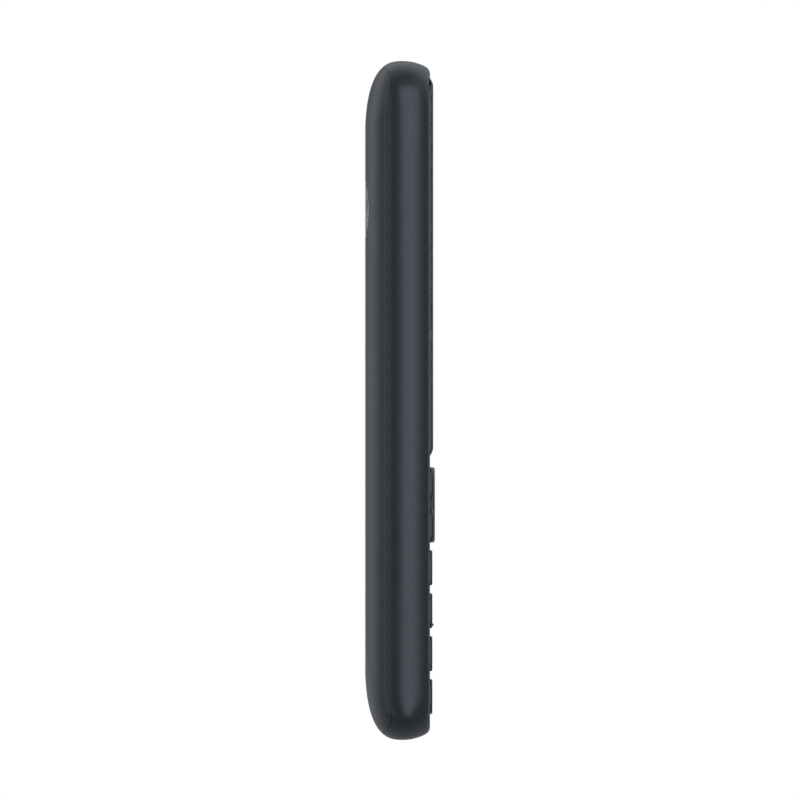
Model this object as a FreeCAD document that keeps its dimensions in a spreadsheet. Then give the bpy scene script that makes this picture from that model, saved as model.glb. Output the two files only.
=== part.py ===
"""Keypad phone standing upright: +X is the front with screen and keys, +Y the user's right, +Z up.

The origin is the bottom centre of the whole phone. All sizes are in millimetres.
"""

import FreeCAD, Part
import math
import operator
import os

import Sketcher

doc = FreeCAD.newDocument("keypad_phone")
sheet = doc.addObject("Spreadsheet::Sheet", "Sizes")

# Driving sizes: name, value in mm, what it measures
SIZES = [
    ("phone_height", 131.4, "overall height"),
    ("phone_width", 53.0, "overall width"),
    ("shell_depth", 12.54, "flat back to front face"),
    ("shell_wall", 1.2, "wall of housing and cover"),
    ("back_curve_depth", 7.31, "flat back to the widest line round the sides"),
    ("end_curve_length", 16.5, "how far the back's curve reaches in from the ends"),
    ("side_curve_length", 20.0, "how far the back's curve reaches in from the sides"),
    ("corner_radius", 9.5, "corners in the front view"),
    ("back_corner_radius", 6.3, "corners of the flat back"),
    ("front_arc_radius", 9.1, "side wall's bulge in front of the widest line"),
    ("front_edge_radius", 1.63, "edge between side wall and front face"),
    ("cover_depth", 5.18, "flat back to the seam along the sides"),
    ("seam_gap", 0.06, "gap between cover and housing"),
    ("seam_bend_start", 5.5, "below the top end, where the seam starts to bend back"),
    ("seam_bend_radius", 9.0, "long bend of the seam"),
    ("seam_hook_radius", 0.7, "short bend of the seam near the end"),
    ("lip_clearance", 0.75, "housing wall to the cover's rails"),
    ("lip_thickness", 0.5, "cover's rails"),
    ("lip_reach", 0.9, "rails beyond the seam"),
    ("lip_root", 1.3, "rails behind the seam"),
    ("lip_end", 14.0, "ends of the phone to the rails"),
    ("lens_height", 73.4, "display lens"),
    ("lens_width", 46.6, "display lens"),
    ("lens_top_margin", 3.15, "top end to the lens"),
    ("lens_corner", 3.2, "lens corners"),
    ("lens_thickness", 1.0, "display lens"),
    ("lens_proud", 0.63, "lens above the front face"),
    ("lens_side_wall", 0.26, "straight part of the lens edge above the front face"),
    ("lens_slope", 1.9, "width of the lens edge's rounding"),
    ("lens_fit", 0.1, "gap round the lens in its recess"),
    ("adhesive_thickness", 0.1, "tape under the lens"),
    ("adhesive_width", 1.6, "tape under the lens"),
    ("display_width", 42.6, "display module"),
    ("display_height", 57.4, "display module"),
    ("display_bottom", 58.0, "module's lower edge above the bottom end"),
    ("display_thickness", 2.2, "display module"),
    ("display_border", 2.6, "module's edge to its visible area"),
    ("gasket_thickness", 0.3, "foam between module and housing"),
    ("gasket_width", 1.0, "foam between module and housing"),
    ("key_width", 14.0, "number keys"),
    ("key_height", 6.78, "number keys"),
    ("key_corner", 2.6, "number keys"),
    ("key_proud", 0.46, "number keys above the front face"),
    ("key_edge", 0.28, "rounding of the keys' edges"),
    ("column_pitch", 15.5, "key columns"),
    ("row_pitch", 8.31, "key rows"),
    ("bottom_row", 8.4, "bottom end to the middle of the lowest row"),
    ("key_fit", 0.12, "gap between a key and its opening"),
    ("key_flange", 0.45, "flange that holds a key in"),
    ("flange_thickness", 0.55, "key flanges"),
    ("flange_gap", 0.05, "flange to the housing at rest"),
    ("pip_radius", 0.25, "raised pip on the 5 key"),
    ("pip_drop", 2.7, "middle of the 5 key down to its pip"),
    ("pad_diameter", 14.56, "four-way pad"),
    ("pad_middle", 45.5, "bottom end to the pad's middle"),
    ("pad_proud", 0.94, "four-way pad above the front face"),
    ("pad_bore", 6.9, "hole for the select key"),
    ("pad_fit", 0.18, "gap between the pad and its opening"),
    ("pad_edge", 0.45, "rounding of the pad's edges"),
    ("pad_flange_gap", 0.35, "pad flange to the housing at rest"),
    ("pad_flange_thickness", 0.4, "pad flange"),
    ("rocker_gap", 0.25, "pad to the rocker plate"),
    ("rocker_thickness", 0.3, "rocker plate"),
    ("rocker_diameter", 13.4, "rocker plate"),
    ("select_diameter", 6.2, "select key"),
    ("select_drop", 0.25, "select key below the pad's top"),
    ("side_key_inner", 8.6, "middle line to the keys beside the pad"),
    ("side_key_outer", 22.5, "middle line to those keys' outer ends"),
    ("side_key_proud", 0.7, "those keys above the front face"),
    ("side_key_edge", 0.5, "rounding of those keys' edges"),
    ("soft_key_height", 6.25, "upper keys beside the pad"),
    ("call_key_height", 6.61, "lower keys beside the pad"),
    ("side_key_corner", 2.2, "keys beside the pad"),
    ("mat_thickness", 0.4, "keypad mat"),
    ("mat_pad_height", 0.9, "mat's raised pads under the keys"),
    ("mat_margin", 1.2, "mat beyond the keys"),
    ("plunger_radius", 1.2, "mat's plungers over the domes"),
    ("dome_radius", 2.1, "key domes"),
    ("dome_height", 0.25, "key domes"),
    ("dome_sheet_thickness", 0.1, "dome sheet"),
    ("dome_clearance", 0.03, "dome to its plunger"),
    ("board_depth", 3.8, "front face to the circuit board"),
    ("board_thickness", 0.8, "circuit board"),
    ("board_margin", 2.5, "outer shape to the board's edge"),
    ("boss_radius", 1.5, "screw bosses"),
    ("boss_clearance", 0.2, "board and mat round a boss"),
    ("chassis_clearance", 2.65, "outer shape to the chassis"),
    ("chassis_gap", 0.1, "board to the chassis"),
    ("chassis_back", 2.34, "flat back to the chassis"),
    ("bay_floor", 0.7, "chassis floor under the battery"),
    ("board_room", 1.2, "room for parts between board and chassis floor"),
    ("deck_thickness", 1.0, "chassis deck at the top"),
    ("battery_width", 34.0, "battery"),
    ("battery_height", 55.0, "battery"),
    ("battery_thickness", 3.9, "battery"),
    ("battery_edge", 0.6, "rounding of the battery's back"),
    ("battery_bottom", 25.5, "bottom end to the battery"),
    ("battery_fit", 0.25, "gap round the battery"),
    ("battery_corner", 1.2, "battery's corners"),
    ("contact_width", 1.6, "battery contacts"),
    ("contact_pitch", 2.9, "battery contacts"),
    ("connector_width", 11.0, "battery connector"),
    ("connector_height", 1.8, "battery connector"),
    ("screw_radius", 0.7, "screw shanks"),
    ("screw_length", 4.2, "screw shanks"),
    ("screw_head_radius", 1.3, "screw heads"),
    ("screw_head_thickness", 0.7, "screw heads"),
    ("screw_fit", 0.02, "boss bore round the shank"),
    ("middle_screw_y", 21.5, "screws between display and keys"),
    ("middle_screw_z", 55.6, "screws between display and keys"),
    ("top_screw_y", 18.3, "screws at the top"),
    ("top_screw_drop", 6.8, "screws below the top end"),
    ("window_width", 35.0, "camera window's opening in the cover"),
    ("window_height", 10.4, "camera window's opening in the cover"),
    ("window_middle", 102.7, "bottom end to the camera window's middle"),
    ("window_thickness", 0.8, "camera window"),
    ("window_fit", 0.12, "gap round the camera window"),
    ("window_ledge", 1.0, "ledge that carries the camera window"),
    ("camera_offset", 8.5, "middle line to the camera, and to the flash"),
    ("camera_body", 8.0, "camera module's sides"),
    ("camera_barrel_radius", 3.0, "camera module's barrel"),
    ("camera_stand", 0.5, "camera module's front to its place on the board"),
    ("camera_barrel_length", 1.7, "camera module's barrel"),
    ("camera_lens_radius", 2.0, "camera lens"),
    ("flash_size", 2.2, "flash LED's sides"),
    ("flash_thickness", 0.8, "flash LED"),
    ("speaker_width", 15.0, "loudspeaker"),
    ("speaker_height", 11.0, "loudspeaker"),
    ("speaker_thickness", 3.1, "loudspeaker"),
    ("speaker_middle", 12.2, "bottom end to the loudspeaker's middle"),
    ("speaker_gasket_thickness", 1.1, "foam ring behind the loudspeaker"),
    ("slot_width", 1.0, "sound slots in the cover"),
    ("slot_height", 5.0, "sound slots in the cover"),
    ("slot_pitch", 2.1, "sound slots in the cover"),
    ("sim_width", 13.6, "SIM holders"),
    ("sim_height", 12.2, "SIM and card holders"),
    ("holder_thickness", 1.4, "SIM and card holders"),
    ("holder_pitch", 14.6, "SIM and card holders"),
    ("holder_middle", 90.2, "bottom end to the holders' middle"),
    ("holder_wall", 0.2, "sheet metal of holders and cans"),
    ("can_width", 34.0, "shield cans"),
    ("can_height", 22.0, "shield cans"),
    ("can_thickness", 1.15, "shield cans"),
    ("can_bottom", 28.5, "bottom end to the lower can"),
    ("can_pitch", 25.0, "shield cans"),
    ("chip_thickness", 0.8, "chips under the cans"),
    ("processor_side", 11.0, "processor chip's sides"),
    ("memory_side", 9.2, "memory chip's sides"),
    ("radio_side", 7.3, "radio chip's sides"),
    ("power_side", 6.3, "power chip's sides"),
    ("jack_radius", 1.75, "headset plug hole"),
    ("jack_drop", 0.75, "housing wall to the headset socket"),
    ("jack_body_width", 6.4, "headset socket"),
    ("jack_body_depth", 5.2, "headset socket"),
    ("jack_body_height", 13.5, "headset socket"),
    ("jack_offset", 13.0, "middle line to the headset socket"),
    ("jack_opening", 2.3, "radius of the housing's hole over the socket"),
    ("port_width", 7.6, "charging socket"),
    ("port_depth", 2.5, "charging socket"),
    ("port_height", 5.8, "charging socket"),
    ("port_inset", 0.5, "bottom end to the charging socket's mouth"),
    ("port_wall", 0.3, "charging socket's sheet metal"),
    ("port_fit", 0.3, "housing's opening round the charging socket"),
    ("port_tongue_width", 3.9, "charging socket's tongue"),
    ("port_tongue_depth", 0.6, "charging socket's tongue"),
    ("earpiece_width", 11.0, "earpiece"),
    ("earpiece_height", 6.4, "earpiece"),
    ("earpiece_thickness", 2.3, "earpiece"),
    ("earpiece_drop", 6.6, "top end to the earpiece slot"),
    ("ear_slot_width", 10.0, "earpiece slot"),
    ("ear_slot_height", 1.3, "earpiece slot"),
    ("mesh_thickness", 0.5, "earpiece mesh"),
    ("mesh_fit", 0.05, "gap round the earpiece mesh"),
    ("motor_radius", 2.0, "vibration motor"),
    ("motor_length", 8.0, "vibration motor"),
    ("motor_start", 4.6, "middle line to the motor"),
    ("motor_height", 113.0, "bottom end to the motor's axis"),
    ("motor_clearance", 0.25, "board to the motor"),
    ("weight_length", 3.0, "motor's weight"),
    ("weight_gap", 0.5, "motor to its weight"),
    ("motor_shaft_radius", 0.4, "motor's shaft"),
    ("microphone_width", 4.0, "microphone"),
    ("microphone_height", 3.0, "microphone"),
    ("microphone_thickness", 1.1, "microphone"),
    ("microphone_offset", 12.0, "middle line to the microphone"),
    ("boot_height", 2.4, "rubber boot between microphone and wall"),
    ("sound_hole_radius", 0.45, "microphone hole"),
    ("antenna_width", 22.0, "antenna film"),
    ("antenna_height", 7.0, "antenna film"),
    ("antenna_thickness", 0.15, "antenna film"),
    ("antenna_drop", 14.0, "top end to the antenna's middle"),
    ("flex_width", 12.0, "display flex"),
    ("flex_thickness", 0.15, "display flex"),
    ("flex_reach", 3.2, "display flex below the module"),
]

# Shape of the back's curve: exponents of its superellipse, at the ends and along the sides
END_POWER = 2.7
SIDE_POWER = 2.5

# Where sections lie on the back's curve, in degrees from the flat back to the widest line
BACK_ANGLES = [8, 10, 13, 18, 29, 40, 51, 62, 72, 80, 86, 90]
FRONT_ARC_STEPS = 3
FRONT_EDGE_STEPS = 4

# How far the seam's long bend turns, in degrees
SEAM_BEND_ANGLE = 24.0

# Lens edge: share of its rise, and share of its slope drawn in, at each step up to the front
LENS_CROWN = [(0.0, 0.0), (0.55, 0.16), (0.87, 0.5), (1.0, 1.0)]

# A slot's end radius as a share of its width: just under half
SLOT_END = 0.49

# Edge rounding as a share of the height of the 5 key's pip and of the domes
PIP_ROUNDING = 0.8
DOME_ROUNDING = 0.9

# Sound slots, counted from the middle one
SLOT_NUMBERS = range(-2, 3)

# Size of the domes and plungers under the pad, as shares of those under the keys
PAD_DOME = 0.6
PAD_PLUNGER = 0.5

# Room kept round a cut's ends so that it runs past both faces
PAST = 2.0

OPERATIONS = {"+": operator.add, "-": operator.sub, "*": operator.mul, "/": operator.truediv}
X_AXIS = FreeCAD.Vector(1, 0, 0)
Y_AXIS = FreeCAD.Vector(0, 1, 0)
SIGNS = (-1, 1)


class Size:
    """A length that keeps its formula on the sheet beside its value."""

    def __init__(self, formula, value):
        self.formula = formula
        self.value = value

    def joined(self, sign, other, turned=False):
        if not isinstance(other, Size):
            other = Size(repr(float(other)), float(other))
        left, right = (other, self) if turned else (self, other)
        value = OPERATIONS[sign](left.value, right.value)
        return Size(f"({left.formula} {sign} {right.formula})", value)

    def __add__(self, other):
        return self.joined("+", other)

    def __radd__(self, other):
        return self.joined("+", other, True)

    def __sub__(self, other):
        return self.joined("-", other)

    def __rsub__(self, other):
        return self.joined("-", other, True)

    def __mul__(self, other):
        return self.joined("*", other)

    def __rmul__(self, other):
        return self.joined("*", other, True)

    def __truediv__(self, other):
        return self.joined("/", other)

    def __neg__(self):
        return self.joined("-", 0.0, True)


class Sheet:
    """The sheet's cells as sizes, by name."""

    def __init__(self):
        for row, (name, value, meaning) in enumerate(SIZES, start=1):
            sheet.set(f"A{row}", meaning)
            sheet.set(f"B{row}", repr(value))
            sheet.setAlias(f"B{row}", name)
            setattr(self, name, Size(f"Sizes.{name}", value))


S = Sheet()
doc.recompute()

# Planes through the depth, from the back to the front
BACK = -(S.shell_depth + S.pad_proud) / 2
FRONT = BACK + S.shell_depth
WIDEST = BACK + S.back_curve_depth
SEAM = BACK + S.cover_depth
CEILING = FRONT - S.shell_wall
BOARD_FRONT = FRONT - S.board_depth
BOARD_BACK = BOARD_FRONT - S.board_thickness
CHASSIS_FRONT = BOARD_BACK - S.chassis_gap
BAY_FRONT = BOARD_BACK - S.board_room - S.chassis_gap
BAY_BACK = BAY_FRONT - S.bay_floor
CHASSIS_BACK = BACK + S.chassis_back
FLANGE_FRONT = CEILING - S.flange_gap
KEY_BOTTOM = FLANGE_FRONT - S.flange_thickness
MAT_TOP = KEY_BOTTOM - S.mat_pad_height
MAT_BOTTOM = MAT_TOP - S.mat_thickness
DOME_BASE = BOARD_FRONT + S.dome_sheet_thickness
DOME_TOP = DOME_BASE + S.dome_height
PAD_TOP = FRONT + S.pad_proud
PAD_FLANGE_FRONT = CEILING - S.pad_flange_gap
PAD_BOTTOM = PAD_FLANGE_FRONT - S.pad_flange_thickness
LENS_FRONT = FRONT + S.lens_proud
LENS_BACK = LENS_FRONT - S.lens_thickness
RECESS_FLOOR = LENS_BACK - S.adhesive_thickness
DISPLAY_FRONT = CEILING - S.gasket_thickness
DISPLAY_BACK = DISPLAY_FRONT - S.display_thickness

# Places across the width and up the height
MIDDLE = Size("0", 0.0)
HALF_WIDTH = S.phone_width / 2
MID_HEIGHT = S.phone_height / 2
LENS_TOP = S.phone_height - S.lens_top_margin
LENS_BOTTOM = LENS_TOP - S.lens_height
DISPLAY_TOP = S.display_bottom + S.display_height
BATTERY_TOP = S.battery_bottom + S.battery_height
PAD_RADIUS = S.pad_diameter / 2
TOP_SCREW_Z = S.phone_height - S.top_screw_drop
LOW_SCREW_Y = S.column_pitch / 2
LOW_SCREW_Z = S.bottom_row + S.row_pitch * 1.5
EAR_SLOT_Z = S.phone_height - S.earpiece_drop

SCREW_PLACES = [
    (sign * y, z)
    for y, z in (
        (S.top_screw_y, TOP_SCREW_Z),
        (S.middle_screw_y, S.middle_screw_z),
        (LOW_SCREW_Y, LOW_SCREW_Z),
    )
    for sign in SIGNS
]

nodes = []


def keep(thing):
    """Adds a finished piece to the list that is written out."""
    nodes.append(thing)
    return thing


def new_body(label, base=None):
    """An empty body, or one that carries on from a shape made before."""
    body = doc.addObject("PartDesign::Body", label)
    body.Label = label
    if base is not None:
        body.BaseFeature = base
    return body


def sketch_on(body, role, height):
    """A sketch on one of the body's own origin planes, moved along the plane's normal."""
    plane = next(item for item in body.Origin.OriginFeatures if item.Role == role)
    sketch = body.newObject("Sketcher::SketchObject", f"{body.Label}_outline")
    sketch.AttachmentSupport = (plane, [""])
    sketch.MapMode = "FlatFace"
    sketch.setExpression("AttachmentOffset.Base.z", height.formula)
    return sketch


def draw_outlines(sketch, outlines):
    """Draws outlines in a sketch. Each constraint that holds a size follows the sheet."""
    rules = []
    for outline in outlines:
        rules += outline.draw(sketch)
    sketch.addConstraint([constraint for constraint, _ in rules])
    for index, (_, size) in enumerate(rules):
        if size is not None:
            sketch.setExpression(f"Constraints[{index}]", size.formula)


def rule(kind, *details, size=None):
    """A constraint and the size that it follows, if any."""
    if size is not None:
        details = (*details, size.value)
    return Sketcher.Constraint(kind, *details), size


class Box:
    """A rectangle from low to high corner, with rounded corners if a radius is given."""

    def __init__(self, left, right, low, high, radius=None):
        self.sides = (left, right, low, high)
        self.radius = radius

    @classmethod
    def about(cls, across, up, width, height, radius=None):
        return cls(
            across - width / 2, across + width / 2, up - height / 2, up + height / 2, radius
        )

    def grown(self, by, radius=None):
        left, right, low, high = self.sides
        if radius is None and self.radius is not None:
            radius = self.radius + by
        return Box(left - by, right + by, low - by, high + by, radius)

    def draw(self, sketch):
        first = sketch.GeometryCount
        left, right, low, high = (side.value for side in self.sides)
        r = self.radius.value if self.radius else 0.0
        step = 2 if self.radius else 1
        ends = [
            ((left + r, low), (right - r, low)),
            ((right, low + r), (right, high - r)),
            ((right - r, high), (left + r, high)),
            ((left, high - r), (left, low + r)),
        ]
        centres = [(right - r, low + r), (right - r, high - r), (left + r, high - r), (left + r, low + r)]
        shapes = []
        for number, (start, end) in enumerate(ends):
            shapes.append(Part.LineSegment(FreeCAD.Vector(*start, 0), FreeCAD.Vector(*end, 0)))
            if self.radius:
                circle = Part.Circle(FreeCAD.Vector(*centres[number], 0), FreeCAD.Vector(0, 0, 1), r)
                turn = (number - 1) * math.pi / 2
                shapes.append(Part.ArcOfCircle(circle, turn, turn + math.pi / 2))
        sketch.addGeometry(shapes, False)
        rules = []
        for number in range(4):
            line = first + number * step
            following = first + (number * step + step) % (4 * step)
            rules.append(rule("Horizontal" if number % 2 == 0 else "Vertical", line))
            if self.radius:
                rules.append(rule("Tangent", line, 2, line + 1, 1))
                rules.append(rule("Tangent", line + 1, 2, following, 1))
                if number:
                    rules.append(rule("Equal", first + 1, line + 1))
            else:
                rules.append(rule("Coincident", line, 2, following, 1))
        if self.radius:
            rules.append(rule("Radius", first + 1, size=self.radius))
        left, right, low, high = self.sides
        for number, (kind, side) in enumerate(
            (("DistanceY", low), ("DistanceX", right), ("DistanceY", high), ("DistanceX", left))
        ):
            rules.append(rule(kind, first + number * step, 1, size=side))
        return rules


class Round:
    """A circle by its middle and radius."""

    def __init__(self, across, up, radius):
        self.across = across
        self.up = up
        self.radius = radius

    def grown(self, by):
        return Round(self.across, self.up, self.radius + by)

    def draw(self, sketch):
        index = sketch.GeometryCount
        middle = FreeCAD.Vector(self.across.value, self.up.value, 0)
        sketch.addGeometry(Part.Circle(middle, FreeCAD.Vector(0, 0, 1), self.radius.value), False)
        return [
            rule("Radius", index, size=self.radius),
            rule("DistanceX", index, 3, size=self.across),
            rule("DistanceY", index, 3, size=self.up),
        ]


def add(body, low, high, *outlines, role="YZ_Plane"):
    """Pads outlines from a low plane to a high one, along X unless another plane is named."""
    sketch = sketch_on(body, role, low)
    draw_outlines(sketch, outlines)
    pad = body.newObject("PartDesign::Pad", f"{body.Label}_pad")
    pad.Profile = (sketch, [""])
    pad.setExpression("Length", (high - low).formula)
    body.Tip = pad
    return pad


def cut(body, high, low, *outlines, role="YZ_Plane"):
    """Pockets outlines from a high plane down to a low one."""
    sketch = sketch_on(body, role, high)
    draw_outlines(sketch, outlines)
    pocket = body.newObject("PartDesign::Pocket", f"{body.Label}_pocket")
    pocket.Profile = (sketch, [""])
    pocket.setExpression("Length", (high - low).formula)
    body.Tip = pocket
    return pocket


def round_edges(body, feature, plane, radius):
    """Rounds the edges of a feature that lie in a plane across X."""
    doc.recompute()
    names = [
        f"Edge{number}"
        for number, edge in enumerate(feature.Shape.Edges, start=1)
        if edge.BoundBox.XLength < 1e-4 and abs(edge.BoundBox.XMax - plane.value) < 1e-4
    ]
    rounding = body.newObject("PartDesign::Fillet", f"{body.Label}_edges")
    rounding.Base = (feature, names)
    rounding.setExpression("Radius", radius.formula)
    body.Tip = rounding
    return rounding


def block(label, low, high, *outlines):
    """A body that is one pad along X."""
    body = new_body(label)
    add(body, low, high, *outlines)
    return body


def boolean(kind, label, base, *tools):
    """A cut, fuse or common of finished shapes."""
    made = doc.addObject(f"Part::{kind}", label)
    made.Label = label
    if kind == "MultiFuse":
        made.Shapes = [base, *tools]
    else:
        made.Base = base
        made.Tool = tools[0]
    return made


# Outer form

def rounded_wire(x, half_width, half_height, radius):
    """A rounded rectangle about the phone's axis, in the plane at depth x."""
    middle = MID_HEIGHT.value
    edges = []
    corners = [(1, -1), (1, 1), (-1, 1), (-1, -1)]
    for number, (side, end) in enumerate(corners):
        cy = side * (half_width - radius)
        cz = middle + end * (half_height - radius)
        start = (number - 1) * math.pi / 2
        points = [
            FreeCAD.Vector(x, cy + radius * math.cos(turn), cz + radius * math.sin(turn))
            for turn in (start, start + math.pi / 4, start + math.pi / 2)
        ]
        edges.append(Part.Arc(*points).toShape())
    joined = []
    for number, edge in enumerate(edges):
        following = edges[(number + 1) % 4]
        joined.append(edge)
        joined.append(
            Part.LineSegment(edge.Vertexes[1].Point, following.Vertexes[0].Point).toShape()
        )
    return Part.Wire(joined)


def form_sections(offset):
    """Depth, inset at the ends, inset at the sides and corner radius of each section of the form."""
    start = math.cos(math.radians(BACK_ANGLES[0])) ** (2 / END_POWER)
    sections = []
    for angle in BACK_ANGLES:
        share = math.cos(math.radians(angle)) ** (2 / END_POWER) / start
        share = 0.0 if angle == BACK_ANGLES[-1] else min(share, 1.0)
        depth = share * (S.back_curve_depth.value - offset)
        end = math.sin(math.radians(angle)) ** (2 / END_POWER)
        side = (1 - (share * start) ** SIDE_POWER) ** (1 / SIDE_POWER)
        inset_end = (1 - end) * (S.end_curve_length.value - offset)
        inset_side = (1 - side) * (S.side_curve_length.value - offset)
        flat = S.back_corner_radius.value
        radius = flat + (S.corner_radius.value - offset - flat) * side
        sections.append((WIDEST.value - depth, inset_end, inset_side, radius))
    arc = S.front_arc_radius.value - offset
    edge = S.front_edge_radius.value - offset
    front = FRONT.value - offset
    meeting = math.asin((front - edge - WIDEST.value) / (arc - edge))
    rim = arc - (arc - edge) * math.cos(meeting)
    for step in range(1, FRONT_ARC_STEPS + 1):
        turn = meeting * step / FRONT_ARC_STEPS
        inset = arc * (1 - math.cos(turn))
        sections.append((WIDEST.value + arc * math.sin(turn), inset, inset, None))
    for step in range(1, FRONT_EDGE_STEPS + 1):
        turn = meeting + (math.pi / 2 - meeting) * step / FRONT_EDGE_STEPS
        inset = rim - edge * math.cos(turn)
        sections.append((front - edge + edge * math.sin(turn), inset, inset, None))
    return sections


def phone_form(label, offset):
    """The phone's outer form, drawn in by an offset: a loft through rounded rectangles."""
    wires = []
    for x, inset_end, inset_side, radius in form_sections(offset.value):
        if radius is None:
            radius = S.corner_radius.value - offset.value - inset_end
        half_width = HALF_WIDTH.value - offset.value - inset_side
        half_height = MID_HEIGHT.value - offset.value - inset_end
        wires.append(rounded_wire(x, half_width, half_height, radius))
    form = doc.addObject("Part::Feature", label)
    form.Label = label
    form.Shape = Part.makeLoft(wires, True, False, False, 5)
    return form


def seam_region(label, gap):
    """Everything behind the seam, as a prism across the width. A gap draws the seam back."""
    seam = SEAM.value - gap
    long_bend = S.seam_bend_radius.value - gap
    hook = S.seam_hook_radius.value - gap
    turned = math.radians(SEAM_BEND_ANGLE)
    start = MID_HEIGHT.value - S.seam_bend_start.value
    far_back = BACK.value - PAST
    half = []
    bend_x = seam - long_bend
    for turn in (0.0, turned / 2, turned):
        half.append((bend_x + long_bend * math.cos(turn), start + long_bend * math.sin(turn)))
    hook_x = bend_x + (long_bend - hook) * math.cos(turned)
    hook_z = start + (long_bend - hook) * math.sin(turned)
    for turn in ((turned + math.pi / 2) / 2, math.pi / 2):
        half.append((hook_x + hook * math.cos(turn), hook_z + hook * math.sin(turn)))
    half.append((far_back, half[-1][1]))

    def place(point, end):
        return FreeCAD.Vector(point[0], -HALF_WIDTH.value - PAST, MID_HEIGHT.value + end * point[1])

    edges = []
    for end in SIGNS:
        first, bend, second, curl, third, last = (place(point, end) for point in half)
        edges.append(Part.Arc(first, bend, second).toShape())
        edges.append(Part.Arc(second, curl, third).toShape())
        edges.append(Part.LineSegment(third, last).toShape())
    for point in (half[0], half[-1]):
        edges.append(Part.LineSegment(place(point, -1), place(point, 1)).toShape())
    face = Part.Face(Part.Wire(Part.__sortEdges__(edges)))
    region = doc.addObject("Part::Feature", label)
    region.Label = label
    region.Shape = face.extrude(Y_AXIS * (S.phone_width.value + 2 * PAST))
    return region


outer_form = phone_form("outer_form", MIDDLE)
inner_form = phone_form("inner_form", S.shell_wall)
shell = boolean("Cut", "shell", outer_form, inner_form)
behind_seam = seam_region("behind_seam", 0.0)
behind_gap = seam_region("behind_gap", S.seam_gap.value)


# Keys: places and outlines, shared by the caps, the openings and the mat

def key_outlines():
    """Outline, height above the front face and edge rounding of every plain key, by name."""
    outlines = {}
    rows = (("1", "2", "3"), ("4", "5", "6"), ("7", "8", "9"), ("star", "0", "hash"))
    for row, names in enumerate(rows):
        z = S.bottom_row + S.row_pitch * (len(rows) - 1 - row)
        for column, name in enumerate(names):
            y = S.column_pitch * (column - 1)
            box = Box.about(y, z, S.key_width, S.key_height, S.key_corner)
            outlines[f"key_{name}"] = (box, S.key_proud, S.key_edge)
    top = S.pad_middle + PAD_RADIUS
    bottom = S.pad_middle - PAD_RADIUS
    for side, upper, lower in ((-1, "soft_key_left", "call_key"), (1, "soft_key_right", "end_key")):
        near, far = sorted((side * S.side_key_inner, side * S.side_key_outer), key=lambda s: s.value)
        for name, low, high in (
            (upper, top - S.soft_key_height, top),
            (lower, bottom, bottom + S.call_key_height),
        ):
            box = Box(near, far, low, high, S.side_key_corner)
            outlines[name] = (box, S.side_key_proud, S.side_key_edge)
    return outlines


KEYS = key_outlines()
PAD_OUTLINE = Round(MIDDLE, S.pad_middle, PAD_RADIUS)
LENS_OUTLINE = Box(-S.lens_width / 2, S.lens_width / 2, LENS_BOTTOM, LENS_TOP, S.lens_corner)
DISPLAY_OUTLINE = Box(
    -S.display_width / 2, S.display_width / 2, S.display_bottom, DISPLAY_TOP, S.gasket_width
)
EAR_SLOT = Box.about(MIDDLE, EAR_SLOT_Z, S.ear_slot_width, S.ear_slot_height, S.ear_slot_height * SLOT_END)
BATTERY_OUTLINE = Box(
    -S.battery_width / 2, S.battery_width / 2, S.battery_bottom, BATTERY_TOP, S.battery_corner
)
JACK_X = WIDEST
JACK_Y = -S.jack_offset
JACK_TOP = S.phone_height - S.shell_wall - S.jack_drop
JACK_BOTTOM = JACK_TOP - S.jack_body_height
PORT_X = BOARD_BACK - S.port_depth / 2
PORT_TOP = S.port_inset + S.port_height
SPEAKER_BACK = BAY_FRONT - S.speaker_thickness
SPEAKER_OUTLINE = Box.about(MIDDLE, S.speaker_middle, S.speaker_width, S.speaker_height, S.battery_corner)
CAMERA_OUTLINE = Box.about(S.camera_offset, S.window_middle, S.camera_body, S.camera_body)
BARREL_OUTLINE = Round(S.camera_offset, S.window_middle, S.camera_barrel_radius)
WINDOW_OUTLINE = Box.about(
    MIDDLE, S.window_middle, S.window_width, S.window_height, S.window_height * SLOT_END
)
MICROPHONE_Z = S.board_margin + S.boot_height / 2 + S.microphone_height / 2
CONNECTOR_Z = BATTERY_TOP + S.battery_fit + S.connector_height / 2


def make_front_housing():
    """Front shell with its side walls, openings and screw bosses."""
    blank = boolean("Cut", "front_housing_blank", shell, behind_seam)
    posts = new_body("front_housing_bosses")
    bosses = [Round(y, z, S.boss_radius) for y, z in SCREW_PLACES]
    add(posts, CHASSIS_FRONT + S.flange_gap, CEILING + S.shell_wall / 4, *bosses)
    bores = [Round(y, z, S.screw_radius + S.screw_fit) for y, z in SCREW_PLACES]
    cut(posts, BAY_FRONT + S.screw_length + S.screw_fit, CHASSIS_FRONT, *bores)
    with_posts = boolean("MultiFuse", "front_housing_with_bosses", blank, posts)
    through = CEILING - PAST / 2
    above = FRONT + PAST / 2
    openings = new_body("front_openings")
    add(openings, RECESS_FLOOR, above, LENS_OUTLINE.grown(S.lens_fit))
    window = DISPLAY_OUTLINE.grown(S.gasket_width - S.display_border, S.gasket_width)
    add(openings, through, above, window)
    add(openings, through, above, EAR_SLOT)
    add(openings, through, above, PAD_OUTLINE.grown(S.pad_fit))
    for box, _, _ in KEYS.values():
        add(openings, through, above, box.grown(S.key_fit))
    ends = new_body("end_openings")
    top = S.phone_height + PAST
    add(ends, JACK_TOP - PAST, top, Round(JACK_X, JACK_Y, S.jack_opening), role="XY_Plane")
    mouth = Box.about(PORT_X, MIDDLE, S.port_depth, S.port_width, S.port_wall).grown(S.port_fit)
    add(ends, -S.shell_wall, S.shell_wall + PAST, mouth, role="XY_Plane")
    hole = Round(BOARD_BACK - S.microphone_thickness / 2, S.microphone_offset, S.sound_hole_radius)
    add(ends, -S.shell_wall, S.shell_wall + PAST / 2, hole, role="XY_Plane")
    tools = boolean("MultiFuse", "housing_openings", openings, ends)
    return keep(boolean("Cut", "front_housing", with_posts, tools))


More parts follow.
